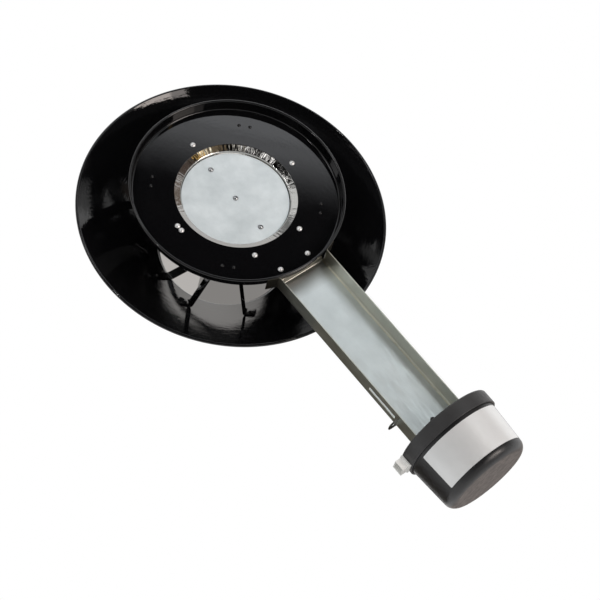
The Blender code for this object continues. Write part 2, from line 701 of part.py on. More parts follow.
def build_channel():
    """Folded sheet: trough, a foot on the pan floor, side tabs round the pan and an end wall."""
    half = channel_section()
    section = [(-p.x, p.y) for p in half[:0:-1]] + [tuple(p) for p in half[1:]]
    bm = bmesh.new()
    start = [bm.verts.new((CHANNEL_START_X, y, z)) for y, z in section]
    edges = [bm.edges.new(pair) for pair in zip(start, start[1:])]
    flanges, web = (edges[0], edges[-1]), edges[len(edges) // 2]
    ends = extrude_edges(bm, edges, (CHANNEL_END_X - CHANNEL_START_X, 0, 0))
    web_end = max(ends, key=lambda e: e.calc_length() if e.verts[0].co.z == e.verts[1].co.z else 0)
    extrude_edges(bm, [web_end], (0, 0, CHANNEL_END_RISE))
    ramp = extrude_edges(bm, [web], (CHANNEL_FOOT_X - CHANNEL_START_X, 0, CHANNEL_FOOT_Z - WEB_Z))
    extrude_edges(bm, ramp, (-CHANNEL_FOOT_LENGTH, 0, 0))
    lean = math.asin(CHANNEL_HALF_WIDTH / (PAN_OUTER_RADIUS + 2 * SEAT_GAP))
    for edge in flanges:
        side = math.copysign(1.0, edge.verts[0].co.y)
        extrude_edges(bm, [edge], Vector((-math.sin(lean), side * math.cos(lean), 0)) * CHANNEL_TAB_REACH)
    bmesh.ops.recalc_face_normals(bm, faces=bm.faces)
    trough = max((f for f in bm.faces if abs(f.normal.z) > abs(f.normal.y)), key=lambda f: f.calc_area())
    if trough.normal.z > 0:
        bmesh.ops.reverse_faces(bm, faces=bm.faces)
    channel = add_sheet("channel_arm", bm, CHANNEL_SHEET, "galvanised")

    lug = bmesh.new()
    low = (LUG_X, CHANNEL_HALF_WIDTH + CHANNEL_SHEET / 2, SLOT_Z - LUG_HEIGHT / 2)
    high = (LUG_X + CHANNEL_SHEET, CHANNEL_HALF_WIDTH + LUG_REACH, SLOT_Z + LUG_HEIGHT / 2)
    block(lug, low, high)
    boolean(channel, add_cutter("lug_blank", lug), "UNION")
    cuts = bmesh.new()
    hole_y = CHANNEL_HALF_WIDTH + LUG_REACH / 2 + CHANNEL_SHEET
    place = aimed((LUG_X, hole_y, SLOT_Z), (1, 0, 0))
    rod(cuts, LUG_HOLE_RADIUS, -2 * CHANNEL_SHEET, 2 * CHANNEL_SHEET, SHAFT_STEPS, place)
    slot_y = CHANNEL_HALF_WIDTH + CHANNEL_SHEET / 2
    block(cuts, (SLOT_START_X, slot_y - CHANNEL_SHEET, SLOT_Z - SLOT_HEIGHT / 2),
          (SLOT_START_X + SLOT_LENGTH, slot_y + CHANNEL_SHEET, SLOT_Z + SLOT_HEIGHT / 2))
    end_holes = [(0.0, SHAFT_Z, BUSH_HOLE_RADIUS + BUSH_WALL)]
    end_holes += [(side * BASE_SCREW_Y, BASE_SCREW_Z, SMALL_SCREW_RADIUS + HOLE_GAP) for side in (-1, 1)]
    for y, z, radius in end_holes:
        place = aimed((CHANNEL_END_X, y, z), (1, 0, 0))
        rod(cuts, radius, -2 * CHANNEL_SHEET, 2 * CHANNEL_SHEET, SHAFT_STEPS, place)
    boolean(channel, add_cutter("channel_cuts", cuts))
    return channel


# Damper: blade, shaft, screws and bushes

BLADE_RADIUS = DUCT_BORE_RADIUS - BLADE_EDGE_GAP
BUSH_HOLE_RADIUS = SHAFT_RADIUS + RUN_GAP + BUSH_WALL + HOLE_GAP
BASE_SCREW_Z = SHAFT_Z + BASE_SCREW_RISE
SHAFT_START_X = -DUCT_BORE_RADIUS - SHAFT_TAIL


def build_blade(hub):
    """The blade lies flat under the shaft. Heights are counted from the shaft's axis."""
    low = WEB_Z - SHAFT_Z
    places = [aimed((k * BLADE_SCREW_PITCH, 0, low), (0, 0, -1)) for k in (-1, 0, 1)]
    disc = bmesh.new()
    rod(disc, BLADE_RADIUS, low, low + BLADE_SHEET, CUP_STEPS)
    blade = add_object("damper_blade", disc, "zinc", hub)
    drill = hole_cutter("blade_drill", places, BLADE_SCREW_RADIUS, -low + SHAFT_RADIUS, hub)
    boolean(blade, drill)

    bar = bmesh.new()
    rod(bar, SHAFT_RADIUS, SHAFT_START_X, SHAFT_END_X, SHAFT_STEPS, aimed((0, 0, 0), (1, 0, 0)))
    shaft = add_object("damper_shaft", bar, "steel", hub)
    boolean(shaft, drill)

    outline = screw_outline(low, BLADE_SCREW_HEAD_RADIUS, BLADE_SCREW_HEAD_HEIGHT, BLADE_SCREW_RADIUS)
    add_fasteners("blade_screw", outline, places, "steel", SCREW_STEPS, hub)


def build_bush(name, x, out, inner):
    """Flanged bush whose sleeve runs back from the flange through the wall it sits in."""
    bore = SHAFT_RADIUS + RUN_GAP
    sleeve = bore + BUSH_WALL
    flange = sleeve + BUSH_FLANGE_WALL
    outline = [(bore, -inner), (sleeve, -inner), (sleeve, 0), (flange, 0),
               (flange, BUSH_FLANGE_THICKNESS), (sleeve, BUSH_FLANGE_THICKNESS), (sleeve, BUSH_LENGTH),
               (bore, BUSH_LENGTH)]
    bm = bmesh.new()
    revolve(bm, outline, SHAFT_STEPS, aimed((x, 0, SHAFT_Z), (out, 0, 0)))
    return add_object(name, bm, "bronze")


# Actuator

BASE_X = CHANNEL_END_X + SEAT_GAP
BASE_INNER_X = BASE_X + BASE_WALL
COVER_MOUTH_X = BASE_X + BASE_DEPTH - COVER_OVERLAP
COVER_END_X = BASE_X + COVER_LENGTH
CAM_X = BASE_INNER_X + BUSH_LENGTH + 2 * SEAT_GAP
GEAR_X = CAM_X + CAM_WIDTH + 2 * SEAT_GAP
PLATE_X = GEAR_X + GEAR_WIDTH + 4 * SEAT_GAP
SHAFT_END_X = PLATE_X + PLATE_SHEET
GEAR_SPREAD = GEAR_MODULE * (GEAR_TEETH + PINION_TEETH) / 2
MOTOR_Z = SHAFT_Z - GEAR_SPREAD


def cover_radius(x):
    """Outside radius of the cover, straight in its mouth and tapering to its end."""
    share = max(0.0, (x - BASE_X - BASE_DEPTH) / (COVER_LENGTH - BASE_DEPTH))
    return COVER_RADIUS + (COVER_END_RADIUS - COVER_RADIUS) * share


def build_base():
    """A moulded dish that the cover slides into. Heights run along +X from the arm's end wall."""
    inside = COVER_RADIUS + SEAT_GAP
    mouth = BASE_X + BASE_DEPTH
    outer = rounded_path([(0, BASE_X, 0), (BASE_RADIUS, BASE_X, BASE_ROUND), (BASE_RADIUS, mouth, 0)])
    inner = [(inside, mouth), (inside, BASE_INNER_X), (0, BASE_INNER_X)]
    bm = bmesh.new()
    revolve(bm, outer + inner, CUP_STEPS, closed=False)
    return bm


def build_cover():
    corners = [
        (cover_radius(COVER_MOUTH_X), COVER_MOUTH_X, 0),
        (COVER_RADIUS, BASE_X + BASE_DEPTH, 0),
        (COVER_END_RADIUS, COVER_END_X, COVER_ROUND),
        (0, COVER_END_X, 0),
    ]
    outer = rounded_path(corners, 2 * BEND_STEPS)
    hollow = []
    for radius, x, bend in corners:
        inner_x = x - COVER_WALL if x == COVER_END_X else x
        hollow.append((max(radius - COVER_WALL, 0), inner_x, max(bend - COVER_WALL, 0)))
    inner = rounded_path(hollow, 2 * BEND_STEPS)
    bm = bmesh.new()
    revolve(bm, outer[::-1] + inner, CUP_STEPS, closed=False)
    return bm


def build_label(axle):
    """A bare plate, bent round the taper of the cover."""
    start = BASE_X + BASE_DEPTH + LABEL_START
    bm = bmesh.new()
    rows = []
    for k in range(LABEL_STEPS + 1):
        heading = LABEL_HEADING + LABEL_HALF_ANGLE * (2 * k / LABEL_STEPS - 1)
        row = []
        for x in (start, start + LABEL_WIDTH):
            for lift in (SEAT_GAP, SEAT_GAP + LABEL_THICKNESS):
                spoke = polar(cover_radius(x) + lift, heading)
                row.append(bm.verts.new((-spoke.y, spoke.x, x)))
        rows.append(row)
    for a, b in zip(rows, rows[1:]):
        for i, j in ((0, 1), (1, 3), (3, 2), (2, 0)):
            bm.faces.new((a[i], a[j], b[j], b[i]))
    for row in (rows[0], rows[-1]):
        bm.faces.new((row[0], row[1], row[3], row[2]))
    return add_object("rating_label", bm, "label", axle)


def build_connector():
    """Nylon housing through the side of the base, open towards +Y, with a lip outside the wall."""
    half = CONNECTOR_WIDTH / 2
    x = BASE_X + BASE_DEPTH / 2
    wall_y = math.sqrt(BASE_RADIUS ** 2 - (CONNECTOR_Z + half - ACTUATOR_AXIS_Z) ** 2)
    inner_y = wall_y - CONNECTOR_INSIDE
    lip_y = BASE_RADIUS + SEAT_GAP
    end_y = wall_y + CONNECTOR_REACH
    socket = half - CONNECTOR_SOCKET_WALL
    body = bmesh.new()
    block(body, (x - half, inner_y, CONNECTOR_Z - half), (x + half, end_y, CONNECTOR_Z + half))
    connector = add_object("harness_connector", body, "nylon")
    lip = bmesh.new()
    edge = half + CONNECTOR_LIP
    block(lip, (x - edge, lip_y, CONNECTOR_Z - edge),
          (x + edge, lip_y + 2 * CONNECTOR_LIP, CONNECTOR_Z + edge))
    boolean(connector, add_cutter("connector_lip", lip), "UNION")
    hollow = bmesh.new()
    block(hollow, (x - socket, end_y - CONNECTOR_SOCKET_DEPTH, CONNECTOR_Z - socket),
          (x + socket, end_y + CONNECTOR_LIP, CONNECTOR_Z + socket))
    boolean(connector, add_cutter("connector_hollow", hollow))
    window = bmesh.new()
    open_half = half + HOLE_GAP
    block(window, (x - open_half, inner_y - 2 * COVER_WALL, CONNECTOR_Z - open_half),
          (x + open_half, end_y, CONNECTOR_Z + open_half))
    return add_cutter("connector_window", window)


def involute_outline(teeth, addendum, first):
    """Outline of a spur gear with a tooth centred on the first angle, as (x, y) points."""
    pitch = GEAR_MODULE * teeth / 2
    root = pitch - DEDENDUM * GEAR_MODULE
    tip = pitch + addendum * GEAR_MODULE
    base = pitch * math.cos(PRESSURE_ANGLE)

    def roll(radius):
        slant = math.acos(min(1.0, base / radius))
        return math.tan(slant) - slant

    half = math.pi * TOOTH_SHARE / teeth
    flank = [max(root, base), pitch, tip]
    points = []
    for k in range(teeth):
        middle = first + 2 * math.pi * k / teeth
        rise = [(r, half + roll(pitch) - roll(r)) for r in flank]
        foot = [(root, rise[0][1])] if root < base else []
        side = foot + rise
        points += [(r * math.cos(middle - a), r * math.sin(middle - a)) for r, a in side]
        points += [(r * math.cos(middle + a), r * math.sin(middle + a)) for r, a in side[::-1]]
    return points


def cam_outline():
    """Snail cam: its radius falls evenly over the damper's quarter turn under the lever's tip."""
    fall = CAM_FALL / DAMPER_TURN
    span = DAMPER_TURN + 2 * CAM_LEAD
    points = []
    for heading in range(-180, 180, CAM_STEP):
        past = (heading + DAMPER_TURN + CAM_LEAD) % FULL_TURN
        rise = past if past <= span else span * (FULL_TURN - past) / (FULL_TURN - span)
        radius = CAM_RADIUS - (DAMPER_TURN + CAM_LEAD) * fall + rise * fall
        spot = polar(radius, heading)
        points.append((-spot.y, spot.x))
    return points


def build_gears(hub):
    bore = ring(SHAFT_RADIUS + RUN_GAP)
    bm = bmesh.new()
    prism(bm, [involute_outline(GEAR_TEETH, GEAR_ADDENDUM, 0.0), bore], GEAR_X, GEAR_X + GEAR_WIDTH)
    add_object("drive_gear", bm, "acetal", hub)
    bm = bmesh.new()
    prism(bm, [cam_outline(), bore], CAM_X, CAM_X + CAM_WIDTH)
    add_object("position_cam", bm, "black_plastic", hub)
    axle = add_empty("pinion_axle", (0, 0, MOTOR_Z), heading_x=True)
    bm = bmesh.new()
    outline = involute_outline(PINION_TEETH, PINION_ADDENDUM, math.pi / PINION_TEETH)
    prism(bm, [outline], GEAR_X, GEAR_X + GEAR_WIDTH)
    pinion = add_object("motor_pinion", bm, "steel", axle)
    stub = bmesh.new()
    stub_end = MOTOR_X + PINION_SHAFT_DEPTH - SEAT_GAP
    rod(stub, PINION_SHAFT_RADIUS, GEAR_X + GEAR_WIDTH / 2, stub_end, SHAFT_STEPS)
    boolean(pinion, add_cutter("pinion_stub", stub, axle), "UNION")


MOTOR_X = PLATE_X + PLATE_SHEET + SEAT_GAP


def build_gear_plate(axle):
    """Steel plate on three posts, with the motor behind it. Heights run along +X."""
    drop = MOTOR_Z - ACTUATOR_AXIS_Z
    shaft_spot = (ACTUATOR_AXIS_Z - SHAFT_Z, 0.0)
    loops = [ring(PLATE_RADIUS, CUP_STEPS), ring(SHAFT_RADIUS + RUN_GAP, SHAFT_STEPS, shaft_spot),
             ring(PINION_SHAFT_RADIUS + RUN_GAP, SHAFT_STEPS, (-drop, 0.0))]
    spots = [(-drop, side * MOTOR_SCREW_CIRCLE) for side in (-1, 1)]
    loops += [ring(SMALL_SCREW_RADIUS + HOLE_GAP, SCREW_STEPS, spot) for spot in spots]
    bm = bmesh.new()
    prism(bm, loops, PLATE_X, PLATE_X + PLATE_SHEET)
    add_object("gear_plate", bm, "steel", axle)

    low, high = BASE_INNER_X + SEAT_GAP, PLATE_X - SEAT_GAP
    post = [(0, high), (POST_RADIUS, high), (POST_RADIUS, low), (0, low)]
    posts = [polar(POST_CIRCLE, heading) for heading in POST_HEADINGS]
    places = [Matrix.Translation((-p.y, p.x, 0)) for p in posts]
    add_fasteners("plate_post", post, places, "steel", SCREW_STEPS, axle)

    bore = PINION_SHAFT_RADIUS + RUN_GAP
    back = MOTOR_X + MOTOR_LENGTH
    lip = MOTOR_X + MOTOR_FLANGE_SHEET
    outline = [(0, MOTOR_X + PINION_SHAFT_DEPTH), (bore, MOTOR_X + PINION_SHAFT_DEPTH), (bore, MOTOR_X),
               (MOTOR_FLANGE_RADIUS, MOTOR_X), (MOTOR_FLANGE_RADIUS, lip), (MOTOR_RADIUS, lip),
               (MOTOR_RADIUS, back), (0, back)]
    bm = bmesh.new()
    revolve(bm, outline, CUP_STEPS // 2, Matrix.Translation((-drop, 0, 0)), closed=False)
    motor = add_object("gear_motor", bm, "zinc", axle)

    end = -PLATE_SHEET - SEAT_GAP - MOTOR_FLANGE_SHEET
    outline = screw_outline(end, SMALL_SCREW_HEAD_RADIUS, SMALL_SCREW_HEAD_HEIGHT, SMALL_SCREW_RADIUS)
    places = [aimed((*spot, PLATE_X), (0, 0, -1)) for spot in spots]
    add_fasteners("motor_screw", outline, places, "steel", SCREW_STEPS, axle)
    boolean(motor, hole_cutter("motor_drill", places, SMALL_SCREW_RADIUS, -end, axle))


LEVER_TIP_Y = CAM_RADIUS + LEVER_GAP + LEVER_TIP_RADIUS
LEVER_PIN_Y = LEVER_TIP_Y + LEVER_OFFSET
LEVER_PIN_Z = SHAFT_Z - LEVER_LENGTH


def build_switch():
    """End switch on the floor of the base, and the lever whose tip follows the cam."""
    face_y = LEVER_PIN_Y + LEVER_EYE_RADIUS + 2 * SEAT_GAP
    low_z = LEVER_PIN_Z - LEVER_EYE_RADIUS
    body_x = BASE_INNER_X + SEAT_GAP
    high_x = CAM_X + CAM_WIDTH
    lever_x = (body_x + SWITCH_EAR + high_x - LEVER_WIDTH) / 2
    body = bmesh.new()
    block(body, (body_x, face_y, low_z), (high_x, face_y + SWITCH_DEPTH, low_z + SWITCH_HEIGHT))
    switch = add_object("end_switch", body, "black_plastic")
    ear = bmesh.new()
    block(ear, (body_x, LEVER_PIN_Y - LEVER_EYE_RADIUS, low_z),
          (body_x + SWITCH_EAR, face_y + SWITCH_EAR, low_z + 2 * LEVER_EYE_RADIUS))
    boolean(switch, add_cutter("switch_ear", ear), "UNION")
    pin = bmesh.new()
    place = aimed((body_x + SEAT_GAP, LEVER_PIN_Y, LEVER_PIN_Z), (1, 0, 0))
    rod(pin, LEVER_PIN_RADIUS, 0, high_x - body_x, SCREW_STEPS, place)
    boolean(switch, add_cutter("switch_pin", pin), "UNION")

    axle = add_empty("lever_axle", (0, LEVER_PIN_Y, LEVER_PIN_Z), heading_x=True)
    run = Vector((-LEVER_LENGTH, -LEVER_OFFSET))
    side = Vector((-run.y, run.x)).normalized()
    half_turn = [math.pi * k / SMALL_STEPS for k in range(SMALL_STEPS + 1)]
    outline = [turned(side * LEVER_EYE_RADIUS, a) for a in half_turn]
    outline += [run + turned(-side * LEVER_TIP_RADIUS, a) for a in half_turn]
    bm = bmesh.new()
    prism(bm, [outline, ring(LEVER_PIN_RADIUS + RUN_GAP, SCREW_STEPS)], lever_x, lever_x + LEVER_WIDTH)
    add_object("switch_lever", bm, "steel", axle)


def build_actuator():
    axle = add_empty("actuator_axis", (0, 0, ACTUATOR_AXIS_Z), heading_x=True)
    base = add_object("actuator_base", build_base(), "charcoal_plastic", axle)
    cover = add_object("actuator_cover", build_cover(), "black_plastic", axle)
    window = build_connector()
    boolean(base, window)
    boolean(cover, window)

    clip_circle = COVER_RADIUS - COVER_WALL
    end = BASE_X - COVER_MOUTH_X + SEAT_GAP
    outline = screw_outline(end, CLIP_HEAD_RADIUS, CLIP_HEAD_HEIGHT, CLIP_RADIUS)
    spots = [polar(clip_circle, CLIP_HEADING + 120.0 * k) for k in range(3)]
    places = [aimed((-spot.y, spot.x, BASE_X), (0, 0, -1)) for spot in spots]
    add_fasteners("cover_clip", outline, places, "black_plastic", SCREW_STEPS, axle)
    boolean(base, hole_cutter("clip_drill", places, CLIP_RADIUS, BASE_WALL, axle))

    grip = CHANNEL_SHEET + SEAT_GAP + BASE_WALL
    nut = [(SMALL_SCREW_RADIUS, -grip - SEAT_GAP), (SMALL_SCREW_HEAD_RADIUS, -grip - SEAT_GAP),
           (SMALL_SCREW_HEAD_RADIUS, -grip - NUT_HEIGHT), (0, -grip - NUT_HEIGHT)]
    head = dome(SMALL_SCREW_HEAD_RADIUS, SMALL_SCREW_HEAD_HEIGHT, SEAT_GAP)
    seat_x = CHANNEL_END_X - CHANNEL_SHEET
    down = ACTUATOR_AXIS_Z - BASE_SCREW_Z
    places = [aimed((down, side * BASE_SCREW_Y, seat_x), (0, 0, -1)) for side in (-1, 1)]
    outline = head + [(SMALL_SCREW_RADIUS, SEAT_GAP)] + nut
    add_fasteners("base_screw", outline, places, "steel", SCREW_STEPS, axle)
    boolean(base, hole_cutter("base_screw_drill", places, SMALL_SCREW_RADIUS, grip, axle))

    bush_hole = bmesh.new()
    rod(bush_hole, BUSH_HOLE_RADIUS, BASE_X - BASE_WALL, BASE_INNER_X + BASE_WALL, SHAFT_STEPS,
        Matrix.Translation((ACTUATOR_AXIS_Z - SHAFT_Z, 0, 0)))
    boolean(base, add_cutter("base_bush_hole", bush_hole, axle))
    build_label(axle)
    build_gear_plate(axle)
    build_switch()


# Rivets that hold the sheets together

def build_hood():
    pan = build_pan()
    skirt = build_skirt()
    collar = build_collar()
    duct = build_duct()
    for number, heading in enumerate(LEG_HEADINGS, 1):
        build_leg(f"leg_bracket_{number}", heading)
    build_brace()
    channel = build_channel()

    head = (RIVET_HEAD_RADIUS, RIVET_HEAD_HEIGHT, RIVET_RADIUS)
    down = (0, 0, -1)
    grip = DUCT_LOW_Z + DUCT_SHEET - PAN_DEPTH
    circle = DUCT_FLANGE_RADIUS - DUCT_RIVET_EDGE
    places = [aimed(polar(circle, heading, PAN_DEPTH), down) for heading in DUCT_RIVET_HEADINGS]
    add_fasteners("duct_rivet", rivet_outline(grip, *head), places, "aluminium", RIVET_STEPS)
    drill_all("duct_rivet_drill", places, RIVET_RADIUS, grip, (pan, duct))

    grip = CHANNEL_FOOT_Z + CHANNEL_SHEET - PAN_DEPTH
    circle = PAN_FLOOR_RADIUS - PAN_BEND - CHANNEL_RIVET_EDGE
    rivet_x = math.sqrt(circle ** 2 - CHANNEL_RIVET_Y ** 2)
    places = [aimed((rivet_x, side * CHANNEL_RIVET_Y, PAN_DEPTH), down) for side in (-1, 1)]
    add_fasteners("channel_rivet", rivet_outline(grip, *head), places, "aluminium", RIVET_STEPS)
    drill_all("channel_rivet_drill", places, RIVET_RADIUS, grip, (pan, channel))

    grip = SKIRT_SHEET + SEAT_GAP + COLLAR_SHEET
    neck_z = THROAT_Z + (NECK_BEND + NECK_HEIGHT) / 2
    places = [aimed(polar(NECK_RADIUS + SKIRT_SHEET / 2, heading, neck_z), polar(1.0, heading))
              for heading in LEG_HEADINGS]
    add_fasteners("collar_rivet", rivet_outline(grip, *head), places, "enamel", RIVET_STEPS)
    drill_all("collar_rivet_drill", places, RIVET_RADIUS, grip, (skirt, collar))

    leg_places = [leg_rivet_places(heading) for heading in LEG_HEADINGS]
    pan_side = [place for leg in leg_places for place in leg[0]]
    skirt_side = [place for leg in leg_places for place in leg[1]]
    drill_all("leg_base_drill", pan_side, SMALL_RIVET_RADIUS, LEG_PAN_GRIP, (pan,))
    drill_all("leg_foot_drill", skirt_side, SMALL_RIVET_RADIUS, LEG_FOOT_GRIP, (skirt,))
    drill_all("brace_drill", brace_rivet_places(), SMALL_RIVET_RADIUS, BRACE_GRIP, (skirt,))

    holes = bmesh.new()
    reach = DUCT_BORE_RADIUS + SHAFT_TAIL
    rod(holes, BUSH_HOLE_RADIUS, -reach, reach, SHAFT_STEPS, aimed((0, 0, SHAFT_Z), (1, 0, 0)))
    boolean(duct, add_cutter("duct_bush_holes", holes))
    bush_x = DUCT_BORE_RADIUS + DUCT_SHEET + SEAT_GAP
    build_bush("duct_bush_front", bush_x, 1.0, DUCT_SHEET + SEAT_GAP)
    build_bush("duct_bush_rear", -bush_x, -1.0, DUCT_SHEET + SEAT_GAP)
    build_bush("base_bush", BASE_INNER_X + SEAT_GAP, 1.0, BASE_WALL + SEAT_GAP)


def main():
    clear_scene()
    build_hood()
    hub = add_empty("damper_axis", (0, 0, SHAFT_Z))
    build_blade(hub)
    turning = add_empty("damper_turning", (0, 0, SHAFT_Z), heading_x=True)
    build_gears(turning)
    build_actuator()


main()
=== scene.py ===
import math

import bmesh
import bpy
from mathutils import Matrix, Vector


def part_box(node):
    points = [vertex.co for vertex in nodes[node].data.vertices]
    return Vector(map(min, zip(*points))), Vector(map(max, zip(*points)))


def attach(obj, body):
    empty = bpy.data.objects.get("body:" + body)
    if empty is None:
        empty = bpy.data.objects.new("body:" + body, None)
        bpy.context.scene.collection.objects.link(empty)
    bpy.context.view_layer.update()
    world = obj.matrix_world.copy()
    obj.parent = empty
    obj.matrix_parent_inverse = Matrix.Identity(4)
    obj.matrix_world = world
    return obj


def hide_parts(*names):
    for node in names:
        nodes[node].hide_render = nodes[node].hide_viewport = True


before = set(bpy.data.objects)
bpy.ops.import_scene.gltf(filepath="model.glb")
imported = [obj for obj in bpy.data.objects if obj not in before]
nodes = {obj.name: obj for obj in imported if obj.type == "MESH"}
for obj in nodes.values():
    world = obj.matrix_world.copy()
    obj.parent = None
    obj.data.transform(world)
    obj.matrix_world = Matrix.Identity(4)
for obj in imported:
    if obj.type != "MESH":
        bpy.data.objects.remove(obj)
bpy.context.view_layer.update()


# Camera
# A long lens two metres away looks up at the underside of the hood, with the arm towards the lower
# right. Nothing is shifted and everything is in focus.
shot = bpy.data.cameras.new("underside_shot")
shot.lens = 120.0
shot.sensor_width = 36.0
shot.clip_end = 100.0
camera = bpy.data.objects.new("underside_camera", shot)
bpy.context.scene.collection.objects.link(camera)
camera.matrix_world = Matrix((
    (0.6196, -0.7177, 0.3179, 0.8478),
    (-0.7678, -0.4697, 0.4358, 0.9849),
    (-0.1634, -0.5140, -0.8421, -1.8379),
    (0.0, 0.0, 0.0, 1.0),
))
bpy.context.scene.camera = camera


# Base pan
# A shallow dish pressed from sheet steel, rim down, with a steep wall and a rolled edge.
# It is sprayed and baked in deep gloss black enamel, and the presswork's rings show through a little.
MM = 0.001
FINE_TURN = 192
DOUBLES = 1e-6
SHARP_ANGLE = math.radians(35.0)
RIM_CURL = -310.0
PAN_SHEET, PAN_FLOOR, PAN_HOLE, PAN_BEND = 0.9, 15.25, 70.5, 2.5
PAN_WALL_TOP, PAN_WALL_FOOT, PAN_WALL_LOW = 119.4, 120.6, 1.9
PAN_ROLL_CENTRE = (121.7, 1.85)


def fold(bm, corners, segments=6):
    """A wire through corners (across, height, bend) in millimetres, with its bends rounded."""
    points = [Vector((across, 0.0, height)) * MM for across, height, _ in corners]
    verts = [bm.verts.new(point) for point in points]
    for pair in zip(verts, verts[1:]):
        bm.edges.new(pair)
    for i, (_, _, bend) in enumerate(corners):
        if bend:
            half = (points[i - 1] - points[i]).angle(points[i + 1] - points[i]) / 2
            bmesh.ops.bevel(bm, geom=[verts[i]], offset=bend * MM / math.tan(half), offset_type="OFFSET",
                            segments=segments, profile=0.5, affect="VERTICES", material=-1)
    return [vert for vert in (verts[0], verts[-1]) if vert.is_valid]


def curl(bm, vert, centre, angle, steps=14):
    """Rolls a wire on from one of its ends, about a centre (across, height) in millimetres."""
    cent = (centre[0] * MM, 0.0, centre[1] * MM)
    made = bmesh.ops.spin(bm, geom=[vert], cent=cent, axis=(0, 1, 0), dvec=(0, 0, 0),
                          angle=math.radians(angle), steps=steps)
    return [item for item in made["geom_last"] if isinstance(item, bmesh.types.BMVert)][0]


def turn(bm, steps=FINE_TURN, place=None):
    """Spins all that is in a mesh about Z, and then puts it in its place."""
    bmesh.ops.spin(bm, geom=bm.verts[:] + bm.edges[:], cent=(0, 0, 0), axis=(0, 0, 1), dvec=(0, 0, 0),
                   angle=2 * math.pi, steps=steps, use_merge=True)
    bmesh.ops.remove_doubles(bm, verts=bm.verts, dist=DOUBLES)
    bmesh.ops.recalc_face_normals(bm, faces=bm.faces)
    if place:
        bmesh.ops.transform(bm, matrix=place, verts=bm.verts)


def stand(name, bm):
    """Puts a mesh into the scene as an object of its own."""
    mesh = bpy.data.meshes.new(name)
    bm.to_mesh(mesh)
    bm.free()
    made = bpy.data.objects.new(name, mesh)
    bpy.context.scene.collection.objects.link(made)
    return made


def settle(piece):
    """Applies the modifiers that a piece has."""
    ready = piece.evaluated_get(bpy.context.evaluated_depsgraph_get())
    piece.data = bpy.data.meshes.new_from_object(ready)
    piece.modifiers.clear()


def make_piece(name, bm, material, slot, *stands_for, body="hood", wall=0.0, offset=0.0, cutters=()):
    """Makes a finished piece of a mesh, with a sheet's wall in millimetres and its cut-outs applied."""
    piece = stand(name, bm)
    if wall:
        sheet = piece.modifiers.new("sheet", "SOLIDIFY")
        sheet.thickness, sheet.offset, sheet.use_even_offset = wall * MM, offset, True
    for cutter in cutters:
        cut = piece.modifiers.new("cut", "BOOLEAN")
        cut.object, cut.operation, cut.solver = cutter, "DIFFERENCE", "EXACT"
    settle(piece)
    for cutter in cutters:
        bpy.data.objects.remove(cutter)
    piece.data.shade_smooth()
    piece.data.set_sharp_from_angle(angle=SHARP_ANGLE)
    flat = piece.modifiers.new("flat", "WEIGHTED_NORMAL")
    flat.keep_sharp = True
    settle(piece)
    piece.data.materials.clear()
    piece.data.materials.append(material)
    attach(piece, body)
    if stands_for:
        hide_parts(*stands_for)
    return piece


def start_finish(name, colour, roughness, metallic=0.0, **sockets):
    """A material whose even values are on its shader, ready for its patterns."""
    material = bpy.data.materials.new(name)
    material.use_nodes = True
    shader = material.node_tree.nodes["Principled BSDF"]
    values = {"Base Color": (*colour, 1.0), "Roughness": roughness, "Metallic": metallic, **sockets}
    for socket, value in values.items():
        shader.inputs[socket].default_value = value
    return material, shader


def add_node(material, kind, inputs=None, **settings):
    """A node with its settings, whose inputs are values or other nodes' outputs."""
    node = material.node_tree.nodes.new("ShaderNode" + kind)
    for key, value in settings.items():
        setattr(node, key, value)
    for socket, value in (inputs or {}).items():
        if isinstance(value, bpy.types.NodeSocket):
            material.node_tree.links.new(value, node.inputs[socket])
        else:
            node.inputs[socket].default_value = value
    return node


def noise(material, vector, scale, detail=3.0, roughness=0.5):
    """A cloudy pattern."""
    return add_node(material, "TexNoise", {"Vector": vector, "Scale": scale, "Detail": detail,
                                           "Roughness": roughness}).outputs["Fac"]


def spread(material, value, low, high, start=0.3, end=0.7):
    """Stretches a pattern's middle values over a range."""
    return add_node(material, "MapRange", {"Value": value, "From Min": start, "From Max": end,
                                           "To Min": low, "To Max": high}).outputs["Result"]


def tint(material, factor, dark, light):
    """A colour between two, by a pattern."""
    mix = add_node(material, "Mix", {0: factor, 6: (*dark, 1.0), 7: (*light, 1.0)}, data_type="RGBA")
    return mix.outputs[2]


def connect(material, value, socket):
    """Leads a node's output to a socket."""
    material.node_tree.links.new(value, socket)


def colour_by(material, shader, pattern, dark, light):
    """Lets a pattern choose the colour of a finish."""
    connect(material, tint(material, pattern, dark, light), shader.inputs["Base Color"])


def roughen_by(material, shader, pattern, low, high):
    """Lets a pattern choose how dull a finish is."""
    connect(material, spread(material, pattern, low, high), shader.inputs["Roughness"])


def bump(material, shader, height, strength, distance):
    """Lets a pattern stand out of a finish, by a distance in metres."""
    node = add_node(material, "Bump", {"Height": height, "Strength": strength, "Distance": distance})
    connect(material, node.outputs["Normal"], shader.inputs["Normal"])


def summed(material, first, second):
    """Two patterns on top of each other."""
    return add_node(material, "Math", {0: first, 1: second}, operation="ADD").outputs["Value"]


def object_place(material):
    """The place on a piece, in its own frame."""
    return add_node(material, "TexCoord").outputs["Object"]


